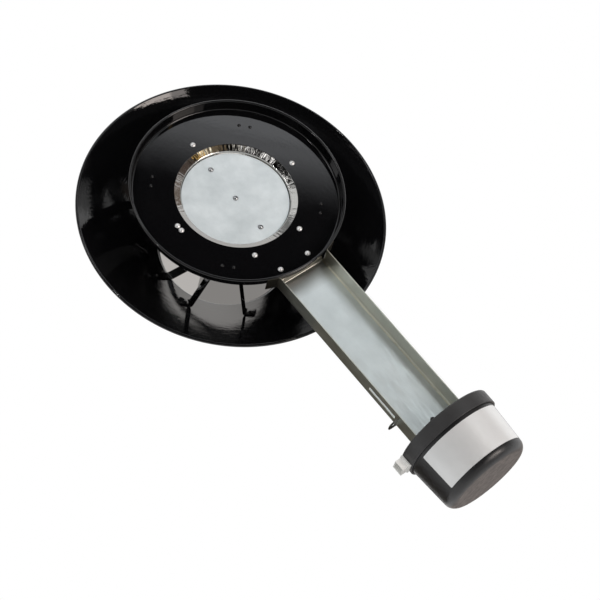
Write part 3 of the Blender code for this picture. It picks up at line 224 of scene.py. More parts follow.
def round_place(material, place, wrap):
    """Radius, wrapped angle and height about Z, for marks that run round a turned piece."""
    split = add_node(material, "SeparateXYZ", {"Vector": place})
    flat = add_node(material, "CombineXYZ", {"X": split.outputs["X"], "Y": split.outputs["Y"]})
    radius = add_node(material, "VectorMath", {0: flat.outputs["Vector"]}, operation="LENGTH")
    angle = add_node(material, "Math", {0: split.outputs["Y"], 1: split.outputs["X"]}, operation="ARCTAN2")
    around = add_node(material, "Math", {0: angle.outputs["Value"], 1: wrap}, operation="MULTIPLY")
    joined = add_node(material, "CombineXYZ", {"X": radius.outputs["Value"], "Y": around.outputs["Value"],
                                               "Z": split.outputs["Z"]})
    return joined.outputs["Vector"]


enamel, shader = start_finish("gloss_black_enamel", (0.0035, 0.0035, 0.0040), 0.07, IOR=1.5)
place = object_place(enamel)
rings = noise(enamel, round_place(enamel, place, 0.012), 420.0)
peel = noise(enamel, place, 260.0, 2.0)
dust = spread(enamel, noise(enamel, place, 900.0, 2.0, 0.7), 0.0, 1.0, 0.62, 0.80)
roughen_by(enamel, shader, noise(enamel, place, 28.0, 4.0), 0.03, 0.07)
colour_by(enamel, shader, dust, (0.0035, 0.0035, 0.004), (0.012, 0.012, 0.012))
bump(enamel, shader, summed(enamel, rings, peel), 0.03, 0.0003)

bm = bmesh.new()
ends = fold(bm, [(PAN_HOLE, PAN_FLOOR, 0), (PAN_WALL_TOP, PAN_FLOOR, PAN_BEND),
                 (PAN_WALL_FOOT, PAN_WALL_LOW, 0)])
curl(bm, ends[1], PAN_ROLL_CENTRE, RIM_CURL)
turn(bm)
make_piece("pan_pressing", bm, enamel, "black_enamel", "base_pan", wall=PAN_SHEET)


# Damper duct
# A short ring drawn from thin stainless sheet and mirror polished: a flange on top of the pan's floor,
# a flared mouth through the pan's hole and a straight wall round the blade.
DUCT_SHEET, DUCT_BEND, DUCT_RADIUS, DUCT_TOP = 0.8, 1.2, 63.1, 50.0
FLANGE_REACH, FLANGE_Z, MOUTH_RADIUS, FLARE_TOP = 88.0, 16.4, 71.3, 19.3

stainless, shader = start_finish("mirror_stainless", (0.66, 0.64, 0.61), 0.10, 1.0)
place = object_place(stainless)
drawn = noise(stainless, round_place(stainless, place, 0.10), 210.0)
waves = noise(stainless, round_place(stainless, place, 0.25), 60.0, 2.0)
roughen_by(stainless, shader, drawn, 0.05, 0.16)
colour_by(stainless, shader, noise(stainless, place, 45.0), (0.72, 0.70, 0.67), (0.82, 0.81, 0.79))
bump(stainless, shader, waves, 0.45, 0.0006)

bm = bmesh.new()
fold(bm, [(FLANGE_REACH, FLANGE_Z, 0), (MOUTH_RADIUS, FLANGE_Z, DUCT_BEND),
          (DUCT_RADIUS, FLARE_TOP, DUCT_BEND), (DUCT_RADIUS, DUCT_TOP, 0)])
turn(bm)
make_piece("duct_ring", bm, stainless, "polished_stainless", "damper_duct", wall=DUCT_SHEET)


# Blind rivets
# Bright aluminium dome heads under the pan's floor, with a small dimple where the pin broke off.
# They hold the duct's flange and the arm's foot; their tails are set on the far side.
HEAD_RIM = 0.3
BRIGHT_HEAD = (3.2, 1.7)
PIN_DIMPLE = 0.4
PAN_FACE = PAN_FLOOR - PAN_SHEET / 2
DOWN = (0, 0, -1)
DUCT_RIVET_RING, DUCT_RIVET_GRIP = 81.6, 2.0
DUCT_RIVET_HEADINGS = (-90.0, 180.0, 92.0, 87.0, 23.3, -23.3)

aluminium, shader = start_finish("bright_aluminium", (0.88, 0.88, 0.87), 0.30, 0.6)
place = object_place(aluminium)
roughen_by(aluminium, shader, noise(aluminium, place, 700.0), 0.24, 0.40)
bump(aluminium, shader, noise(aluminium, place, 900.0), 0.15, 0.0002)


def aimed(point, out):
    """A place at a point in millimetres, whose own Z looks along out."""
    spot = Matrix.Translation(Vector(point) * MM)
    return spot @ Vector(out).to_track_quat("Z", "Y").to_matrix().to_4x4()


def polar(radius, heading, z=0.0):
    """A point round Z, by its radius and its heading in degrees."""
    angle = math.radians(heading)
    return Vector((radius * math.cos(angle), radius * math.sin(angle), z))


def dome(bm, radius, height, place, dimple=0.0, steps=24):
    """A round head of a rivet or screw on a thin rim, with a dimple in its middle."""
    ball = (radius ** 2 + height ** 2) / (2 * height)
    ball_z = HEAD_RIM + height - ball
    sweep = math.degrees(2 * math.atan2(height, radius))
    part = bmesh.new()
    if dimple:
        first = math.asin(dimple / ball)
        lip = ball_z + ball * math.cos(first)
        floor = part.verts.new(Vector((0, 0, lip - 0.6 * dimple)) * MM)
        edge = part.verts.new(Vector((0.7 * dimple, 0, lip - 0.5 * dimple)) * MM)
        start = part.verts.new(Vector((dimple, 0, lip)) * MM)
        part.edges.new((floor, edge))
        part.edges.new((edge, start))
        sweep -= math.degrees(first)
    else:
        start = part.verts.new(Vector((0, 0, HEAD_RIM + height)) * MM)
    last = curl(part, start, (0, ball_z), sweep, 8)
    foot = part.verts.new(Vector((radius, 0, 0)) * MM)
    centre = part.verts.new((0, 0, 0))
    part.edges.new((last, foot))
    part.edges.new((foot, centre))
    turn(part, steps, place)
    shape = bpy.data.meshes.new("head")
    part.to_mesh(shape)
    part.free()
    bm.from_mesh(shape)
    bpy.data.meshes.remove(shape)


def blind_rivet(bm, place, head, grip, dimple=0.0):
    """A set blind rivet: its dome on the near side and its swollen tail on the far side."""
    radius, height = head
    dome(bm, radius, height, place, dimple)
    far = place @ Matrix.Translation((0, 0, -grip * MM)) @ Matrix.Rotation(math.pi, 4, "X")
    dome(bm, 0.78 * radius, 0.8 * radius, far)


for number, heading in enumerate(DUCT_RIVET_HEADINGS, 1):
    bm = bmesh.new()
    seat = aimed(polar(DUCT_RIVET_RING, heading, PAN_FACE), DOWN)
    blind_rivet(bm, seat, BRIGHT_HEAD, DUCT_RIVET_GRIP, PIN_DIMPLE)
    make_piece(f"duct_flange_rivet_{number}", bm, aluminium, "aluminium_rivet", f"duct_rivet_{number}")


# Flared skirt
# A wide cone spun from sheet steel, with a short upright neck at the top and a rolled rim.
# Its enamel is the pan's; the spinning's rings break up what it mirrors.
SKIRT_SHEET, NECK_RADIUS, NECK_TOP, NECK_FOOT, NECK_BEND = 0.9, 76.35, 141.0, 128.0, 7.0
CONE_RADIUS, CONE_Z = 176.0, 48.6
SLOPE = math.atan2(NECK_FOOT - CONE_Z, CONE_RADIUS - NECK_RADIUS)
SKIRT_ROLL, SKIRT_ROLL_Z, SKIRT_TURN = 1.5, 47.4, 256
SPUN_RELIEF = 0.17


def skirt_z(radius):
    """Height of the middle of the skirt's sheet on its cone."""
    return CONE_Z + (CONE_RADIUS - radius) * math.tan(SLOPE)


def skirt_out(heading):
    """The way straight out of the skirt's cone."""
    return polar(math.sin(SLOPE), heading, math.cos(SLOPE))


spun_enamel = enamel.copy()
spun_enamel.name = "spun_black_enamel"
for node in spun_enamel.node_tree.nodes:
    if node.type == "BUMP":
        node.inputs["Strength"].default_value = SPUN_RELIEF

rim_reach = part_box("hood_skirt")[1].y / MM
roll_centre = (rim_reach - SKIRT_ROLL - SKIRT_SHEET / 2, SKIRT_ROLL_Z)
roll_start = (roll_centre[0] - SKIRT_ROLL * math.sin(SLOPE), roll_centre[1] - SKIRT_ROLL * math.cos(SLOPE))
bm = bmesh.new()
ends = fold(bm, [(NECK_RADIUS, NECK_TOP, 0), (NECK_RADIUS, NECK_FOOT, NECK_BEND), (*roll_start, 0)], 10)
curl(bm, ends[1], roll_centre, RIM_CURL, 20)
turn(bm, SKIRT_TURN)
make_piece("skirt_spinning", bm, spun_enamel, "black_enamel", "hood_skirt", wall=SKIRT_SHEET)


# Legs
# Four straps folded like hats, with flat leaning arms. Each stands on the pan's floor on two small
# rivets and carries the skirt on a foot at both ends, and all is painted with the hood.
LEG_SHEET, LEG_SIDE, LEG_BEND, STRAP_CORNER = 1.5, 7.5, 3.0, 2.0
LEG_HEADINGS = (43.5, 133.5, 223.5, 313.5)
LEG_RADIUS, LEG_BASE, LEG_HALF, LEG_LEAN = 97.0, 16.75, 12.8, 18.4
FOOT_OUT, FOOT_LENGTH, FOOT_DROP = 95.5, 12.6, 1.5
SMALL_HEAD = (2.0, 1.0)
LEG_RIVET_ALONG, LEG_RIVET_GRIP = 6.4, 2.7


def foot_z(along, out):
    """Height of the middle of a foot's sheet, just under the skirt's cone."""
    return skirt_z(math.hypot(along, out)) - FOOT_DROP / math.cos(SLOPE)


def leg_edge(across):
    """One edge of half a leg, as (along, out, height): base, arm and a foot folded askew."""
    lean = LEG_LEAN / (foot_z(LEG_HALF + LEG_LEAN, FOOT_OUT) - LEG_BASE)
    along, out = LEG_HALF + LEG_LEAN, FOOT_OUT + across
    for _ in range(20):
        along = LEG_HALF + lean * (foot_z(along, out) - LEG_BASE)
    end = along + FOOT_LENGTH
    return [(LEG_HALF, LEG_RADIUS + across, LEG_BASE), (along, out, foot_z(along, out)),
            (end, out, foot_z(end, out))]


def strap(rows, bend):
    """A strip of quads through rows of two points in millimetres, with its folds and corners rounded."""
    bm = bmesh.new()
    pairs = [[bm.verts.new(point * MM) for point in row] for row in rows]
    for (a, b), (c, d) in zip(pairs, pairs[1:]):
        bm.faces.new((a, b, d, c))
    folds = [edge for edge in bm.edges if not edge.is_boundary]
    corners = [vert for vert in bm.verts if len(vert.link_faces) == 1]
    bmesh.ops.bevel(bm, geom=corners, offset=STRAP_CORNER * MM, offset_type="OFFSET", segments=5,
                    profile=0.5, affect="VERTICES", material=-1)
    bmesh.ops.bevel(bm, geom=folds, offset=bend * MM, offset_type="OFFSET", segments=6, profile=0.5,
                    affect="EDGES", material=-1)
    bmesh.ops.recalc_face_normals(bm, faces=bm.faces)
    return bm


half_leg = list(zip(leg_edge(-LEG_SIDE), leg_edge(LEG_SIDE)))
whole_leg = [(-1, pair) for pair in half_leg[::-1]] + [(1, pair) for pair in half_leg]
foot_along = LEG_HALF + LEG_LEAN + FOOT_LENGTH / 2
foot_radius = math.hypot(foot_along, FOOT_OUT)
foot_turn = math.degrees(math.atan2(foot_along, FOOT_OUT))
small_rivets = bmesh.new()
for number, heading in enumerate(LEG_HEADINGS, 1):
    rows = [[polar(out, heading, z) + polar(side * along, heading + 90.0) for along, out, z in pair]
            for side, pair in whole_leg]
    make_piece(f"leg_strap_{number}", strap(rows, LEG_BEND), enamel, "black_enamel",
               f"leg_bracket_{number}", wall=LEG_SHEET)
    for side in (-1, 1):
        spot = polar(LEG_RADIUS, heading, PAN_FACE) + polar(side * LEG_RIVET_ALONG, heading + 90.0)
        blind_rivet(small_rivets, aimed(spot, DOWN), SMALL_HEAD, LEG_RIVET_GRIP)
        foot_heading = heading + side * foot_turn
        out = skirt_out(foot_heading)
        spot = polar(foot_radius, foot_heading, foot_z(foot_along, FOOT_OUT)) - out * LEG_SHEET / 2
        blind_rivet(small_rivets, aimed(spot, -out), SMALL_HEAD, LEG_RIVET_GRIP)


# Throat brace
# A flat strap straight across the throat, whose ends bend down along the inside of the skirt.
# Two small rivets hold each end, and the strap is painted with the hood.
BRACE_SHEET, BRACE_SIDE, BRACE_BEND, BRACE_DROP = 1.2, 5.0, 2.0, 1.35
BRACE_HEADING, BRACE_END = 92.5, 113.35
BRACE_RIVET_INSETS, BRACE_RIVET_GRIP = (3.7, 14.9), 2.4

drop = BRACE_DROP / math.cos(SLOPE)
rows = [[polar(reach, BRACE_HEADING, skirt_z(abs(reach)) - drop)
         + polar(side * BRACE_SIDE, BRACE_HEADING + 90.0) for side in (-1, 1)]
        for reach in (-BRACE_END, -NECK_RADIUS, NECK_RADIUS, BRACE_END)]
make_piece("throat_strap", strap(rows, BRACE_BEND), enamel, "black_enamel", "throat_brace", wall=BRACE_SHEET)
for heading in (BRACE_HEADING, BRACE_HEADING + 180.0):
    out = skirt_out(heading)
    for inset in BRACE_RIVET_INSETS:
        radius = BRACE_END - inset
        seat = aimed(polar(radius, heading, skirt_z(radius) - drop) - out * BRACE_SHEET / 2, -out)
        blind_rivet(small_rivets, seat, SMALL_HEAD, BRACE_RIVET_GRIP)
make_piece("painted_rivets", small_rivets, enamel, "black_enamel")


# Vent collar
# A rolled ring in the skirt's neck that takes the vent pipe, with a bead as the pipe's stop.
# Four rivets go through neck and collar.
COLLAR_SHEET, COLLAR_RADIUS, COLLAR_FOOT, COLLAR_TOP = 0.8, 75.2, 131.5, 182.99
BEAD_Z, BEAD_SIZE, BEAD_BEND = 145.8, 1.6, 1.0
NECK_RIVET_Z, NECK_RIVET_GRIP, NECK_DIMPLE = 138.0, 2.0, 0.8

bm = bmesh.new()
fold(bm, [(COLLAR_RADIUS, COLLAR_FOOT, 0), (COLLAR_RADIUS, BEAD_Z - BEAD_SIZE, BEAD_BEND),
          (COLLAR_RADIUS + BEAD_SIZE, BEAD_Z, BEAD_BEND), (COLLAR_RADIUS, BEAD_Z + BEAD_SIZE, BEAD_BEND),
          (COLLAR_RADIUS, COLLAR_TOP, 0)])
turn(bm)
make_piece("collar_ring", bm, enamel, "black_enamel", "vent_collar", wall=COLLAR_SHEET)
for number, heading in enumerate(LEG_HEADINGS, 1):
    bm = bmesh.new()
    seat = aimed(polar(NECK_RADIUS + SKIRT_SHEET / 2, heading, NECK_RIVET_Z), polar(1.0, heading))
    blind_rivet(bm, seat, BRIGHT_HEAD, NECK_RIVET_GRIP, NECK_DIMPLE)
    make_piece(f"neck_rivet_{number}", bm, enamel, "black_enamel", f"collar_rivet_{number}")


# Channel arm
# A trough folded from galvanised sheet: a foot riveted on the pan's floor, tabs that follow the pan's
# wall, a long slot in one flange and a wall at its end for the actuator.
ARM_SHEET, ARM_BEND, ARM_HALF, ARM_WEB, ARM_LOW, ARM_END = 1.0, 2.0, 33.2, 21.6, 1.4, 359.7
END_WALL, TAB_LENGTH, TAB_GAP = 26.0, 15.0, 0.6
ARM_FOOT_X, ARM_FOOT_Z, ARM_FOOT_LENGTH = 117.2, 16.0, 17.0
SLOT_START, SLOT_END, SLOT_LOW, SLOT_HIGH = 278.0, 321.0, 9.25, 13.75
LUG_X, LUG_ROOT, LUG_TIP, LUG_LOW, LUG_HIGH, LUG_CORNER = 326.0, 33.8, 47.2, 4.0, 19.0, 5.0
LUG_HOLE, LUG_HOLE_Y = 2.6, 41.2
ARM_RIVET_RING, ARM_RIVET_SIDE, ARM_RIVET_GRIP = 107.3, 19.5, 2.2


def stretched(material, vector, scale):
    """A place drawn out along some axes, for brush marks and scratches."""
    return add_node(material, "Mapping", {"Vector": vector, "Scale": scale}).outputs["Vector"]


galvanised, shader = start_finish("galvanised_sheet", (0.60, 0.64, 0.63), 0.42, 0.85)
place = object_place(galvanised)
spangle = add_node(galvanised, "TexVoronoi", {"Vector": place, "Scale": 150.0}).outputs["Color"]
grain = noise(galvanised, stretched(galvanised, place, (4.0, 60.0, 60.0)), 12.0, 4.0)
stain = spread(galvanised, noise(galvanised, place, 22.0, 5.0, 0.6), 0.0, 1.0)
coat = tint(galvanised, stain, (0.62, 0.67, 0.67), (0.74, 0.79, 0.79))
split = add_node(galvanised, "SeparateXYZ", {"Vector": place})
# Painted shade: the coat is darkened to brown towards the pan's end of the arm, where the pan's shadow
# falls.
painted_shade_near_pan = spread(galvanised, split.outputs["X"], 0.0, 1.0, 0.112, 0.146)
shaded_near_pan = add_node(galvanised, "Mix", {0: painted_shade_near_pan, 6: (0.17, 0.15, 0.11, 1.0), 7: coat}, data_type="RGBA")
# Painted light and shade across the arm: the web keeps its coat, the bends get a lighter tan line as a
# painted highlight, the flanges are painted a darker brownish grey as shade, and the tabs and lug are
# painted dark as shade.
across = add_node(galvanised, "Math", {0: split.outputs["Y"]}, operation="ABSOLUTE").outputs["Value"]
painted_light_across = add_node(galvanised, "ValToRGB", {"Fac": spread(galvanised, across, 0.0, 1.0, 0.0298, 0.0350)})
unshaded_web, bend_highlight = (1.0, 1.0, 1.0), (1.22, 1.12, 0.90)
shaded_flange, shaded_tabs = (0.90, 0.85, 0.75), (0.22, 0.21, 0.19)
stops = painted_light_across.color_ramp.elements
stops[0].position, stops[0].color = 0.07, (*unshaded_web, 1.0)
stops[1].position, stops[1].color = 1.0, (*shaded_tabs, 1.0)
for position, tone in ((0.28, bend_highlight), (0.52, shaded_flange), (0.72, shaded_flange)):
    stops.new(position).color = (*tone, 1.0)
coat_with_painted_light = add_node(galvanised, "Mix", {0: 1.0, 6: shaded_near_pan.outputs[2], 7: painted_light_across.outputs["Color"]},
                  data_type="RGBA", blend_type="MULTIPLY")
connect(galvanised, coat_with_painted_light.outputs[2], shader.inputs["Base Color"])
roughen_by(galvanised, shader, grain, 0.28, 0.44)
bump(galvanised, shader, summed(galvanised, grain, spangle), 0.06, 0.0004)

pan_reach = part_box("base_pan")[1].x / MM + TAB_GAP
arm_start = math.sqrt(pan_reach ** 2 - ARM_HALF ** 2)


def carry(bm, edges, vec):
    """Extrudes edges of a sheet and returns the edges of its new border."""
    made = bmesh.ops.extrude_edge_only(bm, edges=edges)["geom"]
    verts = [item for item in made if isinstance(item, bmesh.types.BMVert)]
    bmesh.ops.translate(bm, verts=verts, vec=Vector(vec) * MM)
    return [item for item in made if isinstance(item, bmesh.types.BMEdge)
            and all(vert in verts for vert in item.verts)]


def longest(edges):
    """The edge that runs across the web."""
    return max(edges, key=lambda edge: edge.calc_length())


def slot_flange(bm):
    """The faces of the flange that has the slot, clear of the tab's bend."""
    middles = {face: face.calc_center_median() / MM for face in bm.faces}
    return {face: middle for face, middle in middles.items()
            if middle.y > ARM_HALF - 0.1 and middle.x > arm_start + 5.0}


bm = bmesh.new()
fold(bm, [(-ARM_HALF, ARM_LOW, 0), (-ARM_HALF, ARM_WEB, ARM_BEND),
          (ARM_HALF, ARM_WEB, ARM_BEND), (ARM_HALF, ARM_LOW, 0)])
bmesh.ops.rotate(bm, verts=bm.verts, matrix=Matrix.Rotation(math.pi / 2, 3, "Z"))
bmesh.ops.translate(bm, verts=bm.verts, vec=(arm_start * MM, 0, 0))
section = bm.edges[:]
web = longest(section)
flanges = [edge for edge in section if abs(edge.verts[0].co.y - edge.verts[1].co.y) < DOUBLES]
far_web = longest(carry(bm, section, (ARM_END - arm_start, 0, 0)))
carry(bm, [far_web], (0, 0, END_WALL))
ramp = carry(bm, [web], (ARM_FOOT_X - arm_start, 0, ARM_FOOT_Z - ARM_WEB))
carry(bm, ramp, (-ARM_FOOT_LENGTH, 0, 0))
for edge in flanges:
    side = math.copysign(1.0, edge.verts[0].co.y)
    bmesh.ops.spin(bm, geom=[edge, *edge.verts], cent=(0, 0, 0), axis=(0, 0, 1), dvec=(0, 0, 0),
                   angle=side * TAB_LENGTH / pan_reach, steps=6)
bmesh.ops.remove_doubles(bm, verts=bm.verts, dist=DOUBLES)
creases = [edge for edge in (web, far_web, *ramp, *flanges) if edge.is_valid]
bmesh.ops.bevel(bm, geom=creases, offset=ARM_BEND * MM, offset_type="OFFSET", segments=5, profile=0.5,
                affect="EDGES", material=-1)
for spot, normal in (((SLOT_START, 0, 0), (1, 0, 0)), ((SLOT_END, 0, 0), (1, 0, 0)),
                     ((0, 0, SLOT_LOW), (0, 0, 1)), ((0, 0, SLOT_HIGH), (0, 0, 1))):
    geom = list({item for face in slot_flange(bm) for item in (face, *face.edges, *face.verts)})
    bmesh.ops.bisect_plane(bm, geom=geom, dist=DOUBLES, plane_co=Vector(spot) * MM, plane_no=normal)
slot_faces = [face for face, middle in slot_flange(bm).items()
              if SLOT_START < middle.x < SLOT_END and SLOT_LOW < middle.z < SLOT_HIGH]
bmesh.ops.delete(bm, geom=slot_faces, context="FACES_ONLY")
bmesh.ops.recalc_face_normals(bm, faces=bm.faces)
web_face = max(bm.faces, key=lambda face: face.calc_area())
if web_face.normal.z > 0:
    bmesh.ops.reverse_faces(bm, faces=bm.faces)
make_piece("arm_trough", bm, galvanised, "galvanised_sheet", "channel_arm", wall=ARM_SHEET, offset=-1.0)

bm = bmesh.new()
lug_corners = ((LUG_ROOT, LUG_LOW), (LUG_TIP, LUG_LOW), (LUG_TIP, LUG_HIGH), (LUG_ROOT, LUG_HIGH))
outline = [bm.verts.new(Vector((LUG_X, y, z)) * MM) for y, z in lug_corners]
bm.faces.new(outline)
bmesh.ops.bevel(bm, geom=outline[1:3], offset=LUG_CORNER * MM, offset_type="OFFSET", segments=6, profile=0.5,
                affect="VERTICES", material=-1)
hole = bmesh.new()
hole_place = aimed((LUG_X + ARM_SHEET / 2, LUG_HOLE_Y, (LUG_LOW + LUG_HIGH) / 2), (1, 0, 0))
bmesh.ops.create_cone(hole, cap_ends=True, segments=32, radius1=LUG_HOLE * MM, radius2=LUG_HOLE * MM,
                      depth=6 * ARM_SHEET * MM, matrix=hole_place)
make_piece("arm_lug", bm, galvanised, "galvanised_sheet", wall=ARM_SHEET, offset=1.0,
           cutters=[stand("lug_drill", hole)])

arm_rivet_x = math.sqrt(ARM_RIVET_RING ** 2 - ARM_RIVET_SIDE ** 2)
for number, side in enumerate((-1, 1), 1):
    bm = bmesh.new()
    seat = aimed((arm_rivet_x, side * ARM_RIVET_SIDE, PAN_FACE), DOWN)
    blind_rivet(bm, seat, BRIGHT_HEAD, ARM_RIVET_GRIP, PIN_DIMPLE)
    make_piece(f"arm_foot_rivet_{number}", bm, aluminium, "aluminium_rivet", f"channel_rivet_{number}")


# Shaft and bushes
# A plain steel rod through the duct and along the top of the arm into the actuator, which turns in
# flanged bushes of oiled bronze.
SHAFT_RADIUS, SHAFT_EDGE, SHAFT_Z, SHAFT_TURN = 4.0, 0.6, 26.9, 48

steel, shader = start_finish("plain_steel", (0.45, 0.46, 0.47), 0.33, 1.0)
place = object_place(steel)
scratch = noise(steel, stretched(steel, place, (200.0, 6.0, 6.0)), 6.0)
roughen_by(steel, shader, scratch, 0.22, 0.42)
colour_by(steel, shader, noise(steel, place, 60.0), (0.38, 0.39, 0.40), (0.52, 0.53, 0.54))
bump(steel, shader, scratch, 0.08, 0.0003)
bronze, shader = start_finish("oiled_bronze", (0.45, 0.28, 0.13), 0.38, 1.0)
place = object_place(bronze)
pores = noise(bronze, place, 1500.0, 2.0)
colour_by(bronze, shader, noise(bronze, place, 120.0), (0.36, 0.22, 0.10), (0.52, 0.33, 0.16))
roughen_by(bronze, shader, pores, 0.30, 0.50)
bump(bronze, shader, pores, 0.20, 0.0002)


def finish_nodes(material, *names):
    """Gives the solids that are shown as they are their material."""
    for name in names:
        nodes[name].material_slots[0].material = material


shaft_low, shaft_high = (corner.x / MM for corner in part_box("damper_shaft"))
bm = bmesh.new()
fold(bm, [(0, shaft_high, 0), (SHAFT_RADIUS, shaft_high, SHAFT_EDGE), (SHAFT_RADIUS, shaft_low, SHAFT_EDGE),
          (0, shaft_low, 0)], 3)
turn(bm, SHAFT_TURN, aimed((0, 0, SHAFT_Z), (1, 0, 0)))
make_piece("damper_rod", bm, steel, "steel", "damper_shaft", body="damper")
finish_nodes(bronze, "duct_bush_front", "duct_bush_rear", "base_bush")


# Damper blade
# A round plate of zinc plated sheet that closes the duct, faintly stained by handling.
# Three pan head screws hold it on the shaft.
BLADE_RADIUS, BLADE_LOW, BLADE_HIGH, BLADE_EDGE = 62.0, 21.6, 22.6, 0.3
SCREW_HEAD, SCREW_DIMPLE, SCREW_PITCH = (3.2, 2.0), 1.3, 46.2

zinc, shader = start_finish("zinc_plate", (0.72, 0.76, 0.77), 0.42, 0.35)
place = object_place(zinc)
cloud = noise(zinc, place, 38.0, 5.0, 0.6)
colour_by(zinc, shader, spread(zinc, cloud, 0.0, 1.0), (0.56, 0.61, 0.62), (0.72, 0.77, 0.78))
roughen_by(zinc, shader, noise(zinc, place, 120.0, 2.0), 0.36, 0.50)
bump(zinc, shader, cloud, 0.10, 0.0010)

bm = bmesh.new()
fold(bm, [(0, BLADE_LOW, 0), (BLADE_RADIUS, BLADE_LOW, BLADE_EDGE), (BLADE_RADIUS, BLADE_HIGH, BLADE_EDGE),
          (0, BLADE_HIGH, 0)], 3)
turn(bm)
make_piece("blade_plate", bm, zinc, "zinc_sheet", "damper_blade", body="damper")
for number, along in enumerate((-SCREW_PITCH, 0.0, SCREW_PITCH), 1):
    bm = bmesh.new()
    dome(bm, *SCREW_HEAD, aimed((along, 0, BLADE_LOW), DOWN), SCREW_DIMPLE)
    make_piece(f"blade_fixing_{number}", bm, steel, "steel", f"blade_screw_{number}", body="damper")


# Actuator base
# A dish moulded in charcoal plastic, screwed to the arm's end wall. The cover slides into its rim,
# and a window in its side takes the wiring connector.
CUP_Z = 5.9
BASE_BACK, BASE_FLOOR, BASE_RIM, BASE_OUTER, BASE_INNER = 360.0, 362.4, 377.0, 58.3, 55.9
PLUG_X, PLUG_Z, WINDOW_HALF = 368.5, 14.0, 6.8
WINDOW_INNER, WINDOW_OUTER = 45.0, 70.0

charcoal, shader = start_finish("charcoal_moulding", (0.028, 0.028, 0.029), 0.45)
place = object_place(charcoal)
colour_by(charcoal, shader, noise(charcoal, place, 60.0), (0.022, 0.022, 0.023), (0.036, 0.036, 0.037))
roughen_by(charcoal, shader, noise(charcoal, place, 200.0), 0.38, 0.55)
bump(charcoal, shader, noise(charcoal, place, 1400.0, 2.0), 0.12, 0.0003)


def block(low, high):
    """A box between two corners in millimetres."""
    bm = bmesh.new()
    middle = (Vector(low) + Vector(high)) / 2 * MM
    size = (Vector(high) - Vector(low)) * MM
    bmesh.ops.create_cube(bm, size=1.0, matrix=Matrix.Translation(middle) @ Matrix.Diagonal((*size, 1.0)))
    return bm


along_arm = aimed((0, 0, CUP_Z), (1, 0, 0))
window_low = (PLUG_X - WINDOW_HALF, WINDOW_INNER, PLUG_Z - WINDOW_HALF)
window_high = (PLUG_X + WINDOW_HALF, WINDOW_OUTER, PLUG_Z + WINDOW_HALF)
bm = bmesh.new()
fold(bm, [(0, BASE_BACK, 0), (BASE_OUTER, BASE_BACK, 2.0), (BASE_OUTER, BASE_RIM, 0.5),
          (BASE_INNER, BASE_RIM, 0.4), (BASE_INNER, BASE_FLOOR, 0.6), (0, BASE_FLOOR, 0)], 5)
turn(bm, FINE_TURN, along_arm)
make_piece("base_moulding", bm, charcoal, "charcoal_plastic", "actuator_base",
           cutters=[stand("base_window", block(window_low, window_high))])


# Drive inside the actuator
# The motor's pinion turns a gear of acetal on the shaft, and a cam beside it works the end switch.
# Plate, posts, screws and motor can are plain or plated steel.
acetal, shader = start_finish("acetal", (0.72, 0.71, 0.66), 0.42)
place = object_place(acetal)
colour_by(acetal, shader, noise(acetal, place, 90.0), (0.68, 0.67, 0.61), (0.76, 0.75, 0.71))
bump(acetal, shader, noise(acetal, place, 900.0), 0.08, 0.0002)
satin, shader = start_finish("satin_black_moulding", (0.012, 0.012, 0.013), 0.34)
place = object_place(satin)
colour_by(satin, shader, noise(satin, place, 70.0), (0.010, 0.010, 0.011), (0.016, 0.016, 0.017))
roughen_by(satin, shader, noise(satin, place, 160.0), 0.27, 0.42)
bump(satin, shader, noise(satin, place, 1100.0, 2.0), 0.08, 0.0003)

finish_nodes(acetal, "drive_gear")
finish_nodes(satin, "position_cam", "end_switch")
finish_nodes(zinc, "gear_motor")
finish_nodes(steel, "motor_pinion", "gear_plate", "switch_lever", "base_screw_1", "base_screw_2",
             "motor_screw_1", "motor_screw_2", "plate_post_1", "plate_post_2", "plate_post_3")


# Actuator cover
# A deep cup moulded in satin black plastic with a tapering wall and a rounded end. Three plastic clips
# through the base's floor hold it.
COVER_WALL, COVER_START, COVER_END, COVER_ROUND = 2.2, 366.0, 436.0, 10.5
COVER_RADIUS, COVER_TIP = 55.6, 52.2
CLIP_HEAD, CLIP_RING = (2.8, 2.8), 53.4
CLIP_HEADINGS = (-58.4, 61.6, 181.6)

bm = bmesh.new()
fold(bm, [(COVER_RADIUS, COVER_START, 0), (COVER_RADIUS, BASE_RIM, 0), (COVER_TIP, COVER_END, COVER_ROUND),
          (0, COVER_END, 0)], 10)
turn(bm, FINE_TURN, along_arm)
make_piece("cover_cup", bm, satin, "black_plastic", "actuator_cover", wall=COVER_WALL, offset=-1.0,
           cutters=[stand("cover_window", block(window_low, window_high))])
for number, heading in enumerate(CLIP_HEADINGS, 1):
    spoke = polar(CLIP_RING, heading)
    bm = bmesh.new()
    dome(bm, *CLIP_HEAD, aimed((BASE_BACK, spoke.x, CUP_Z + spoke.y), (-1, 0, 0)))
    make_piece(f"cover_clip_head_{number}", bm, satin, "black_plastic", f"cover_clip_{number}")


# Rating label
# A bare plate of satin silver foil with small rounded corners, cut flat and stuck round the cover's
# taper.
LABEL_START, LABEL_LENGTH, LABEL_MIDDLE, LABEL_HALF = 381.0, 44.0, -80.5, 60.0
LABEL_SHEET, LABEL_LIFT, LABEL_CORNER = 0.3, 0.45, 1.5

foil, shader = start_finish("satin_silver_foil", (0.80, 0.79, 0.78), 0.38, 0.40)
place = object_place(foil)
brushed = noise(foil, stretched(foil, place, (8.0, 120.0, 120.0)), 10.0)
roughen_by(foil, shader, brushed, 0.32, 0.46)
colour_by(foil, shader, noise(foil, place, 40.0), (0.74, 0.75, 0.75), (0.84, 0.85, 0.85))
bump(foil, shader, brushed, 0.05, 0.0002)


def cover_radius(x):
    """Outer radius of the cover's tapering wall."""
    return COVER_RADIUS + (COVER_TIP - COVER_RADIUS) * max(0.0, (x - BASE_RIM) / (COVER_END - BASE_RIM))


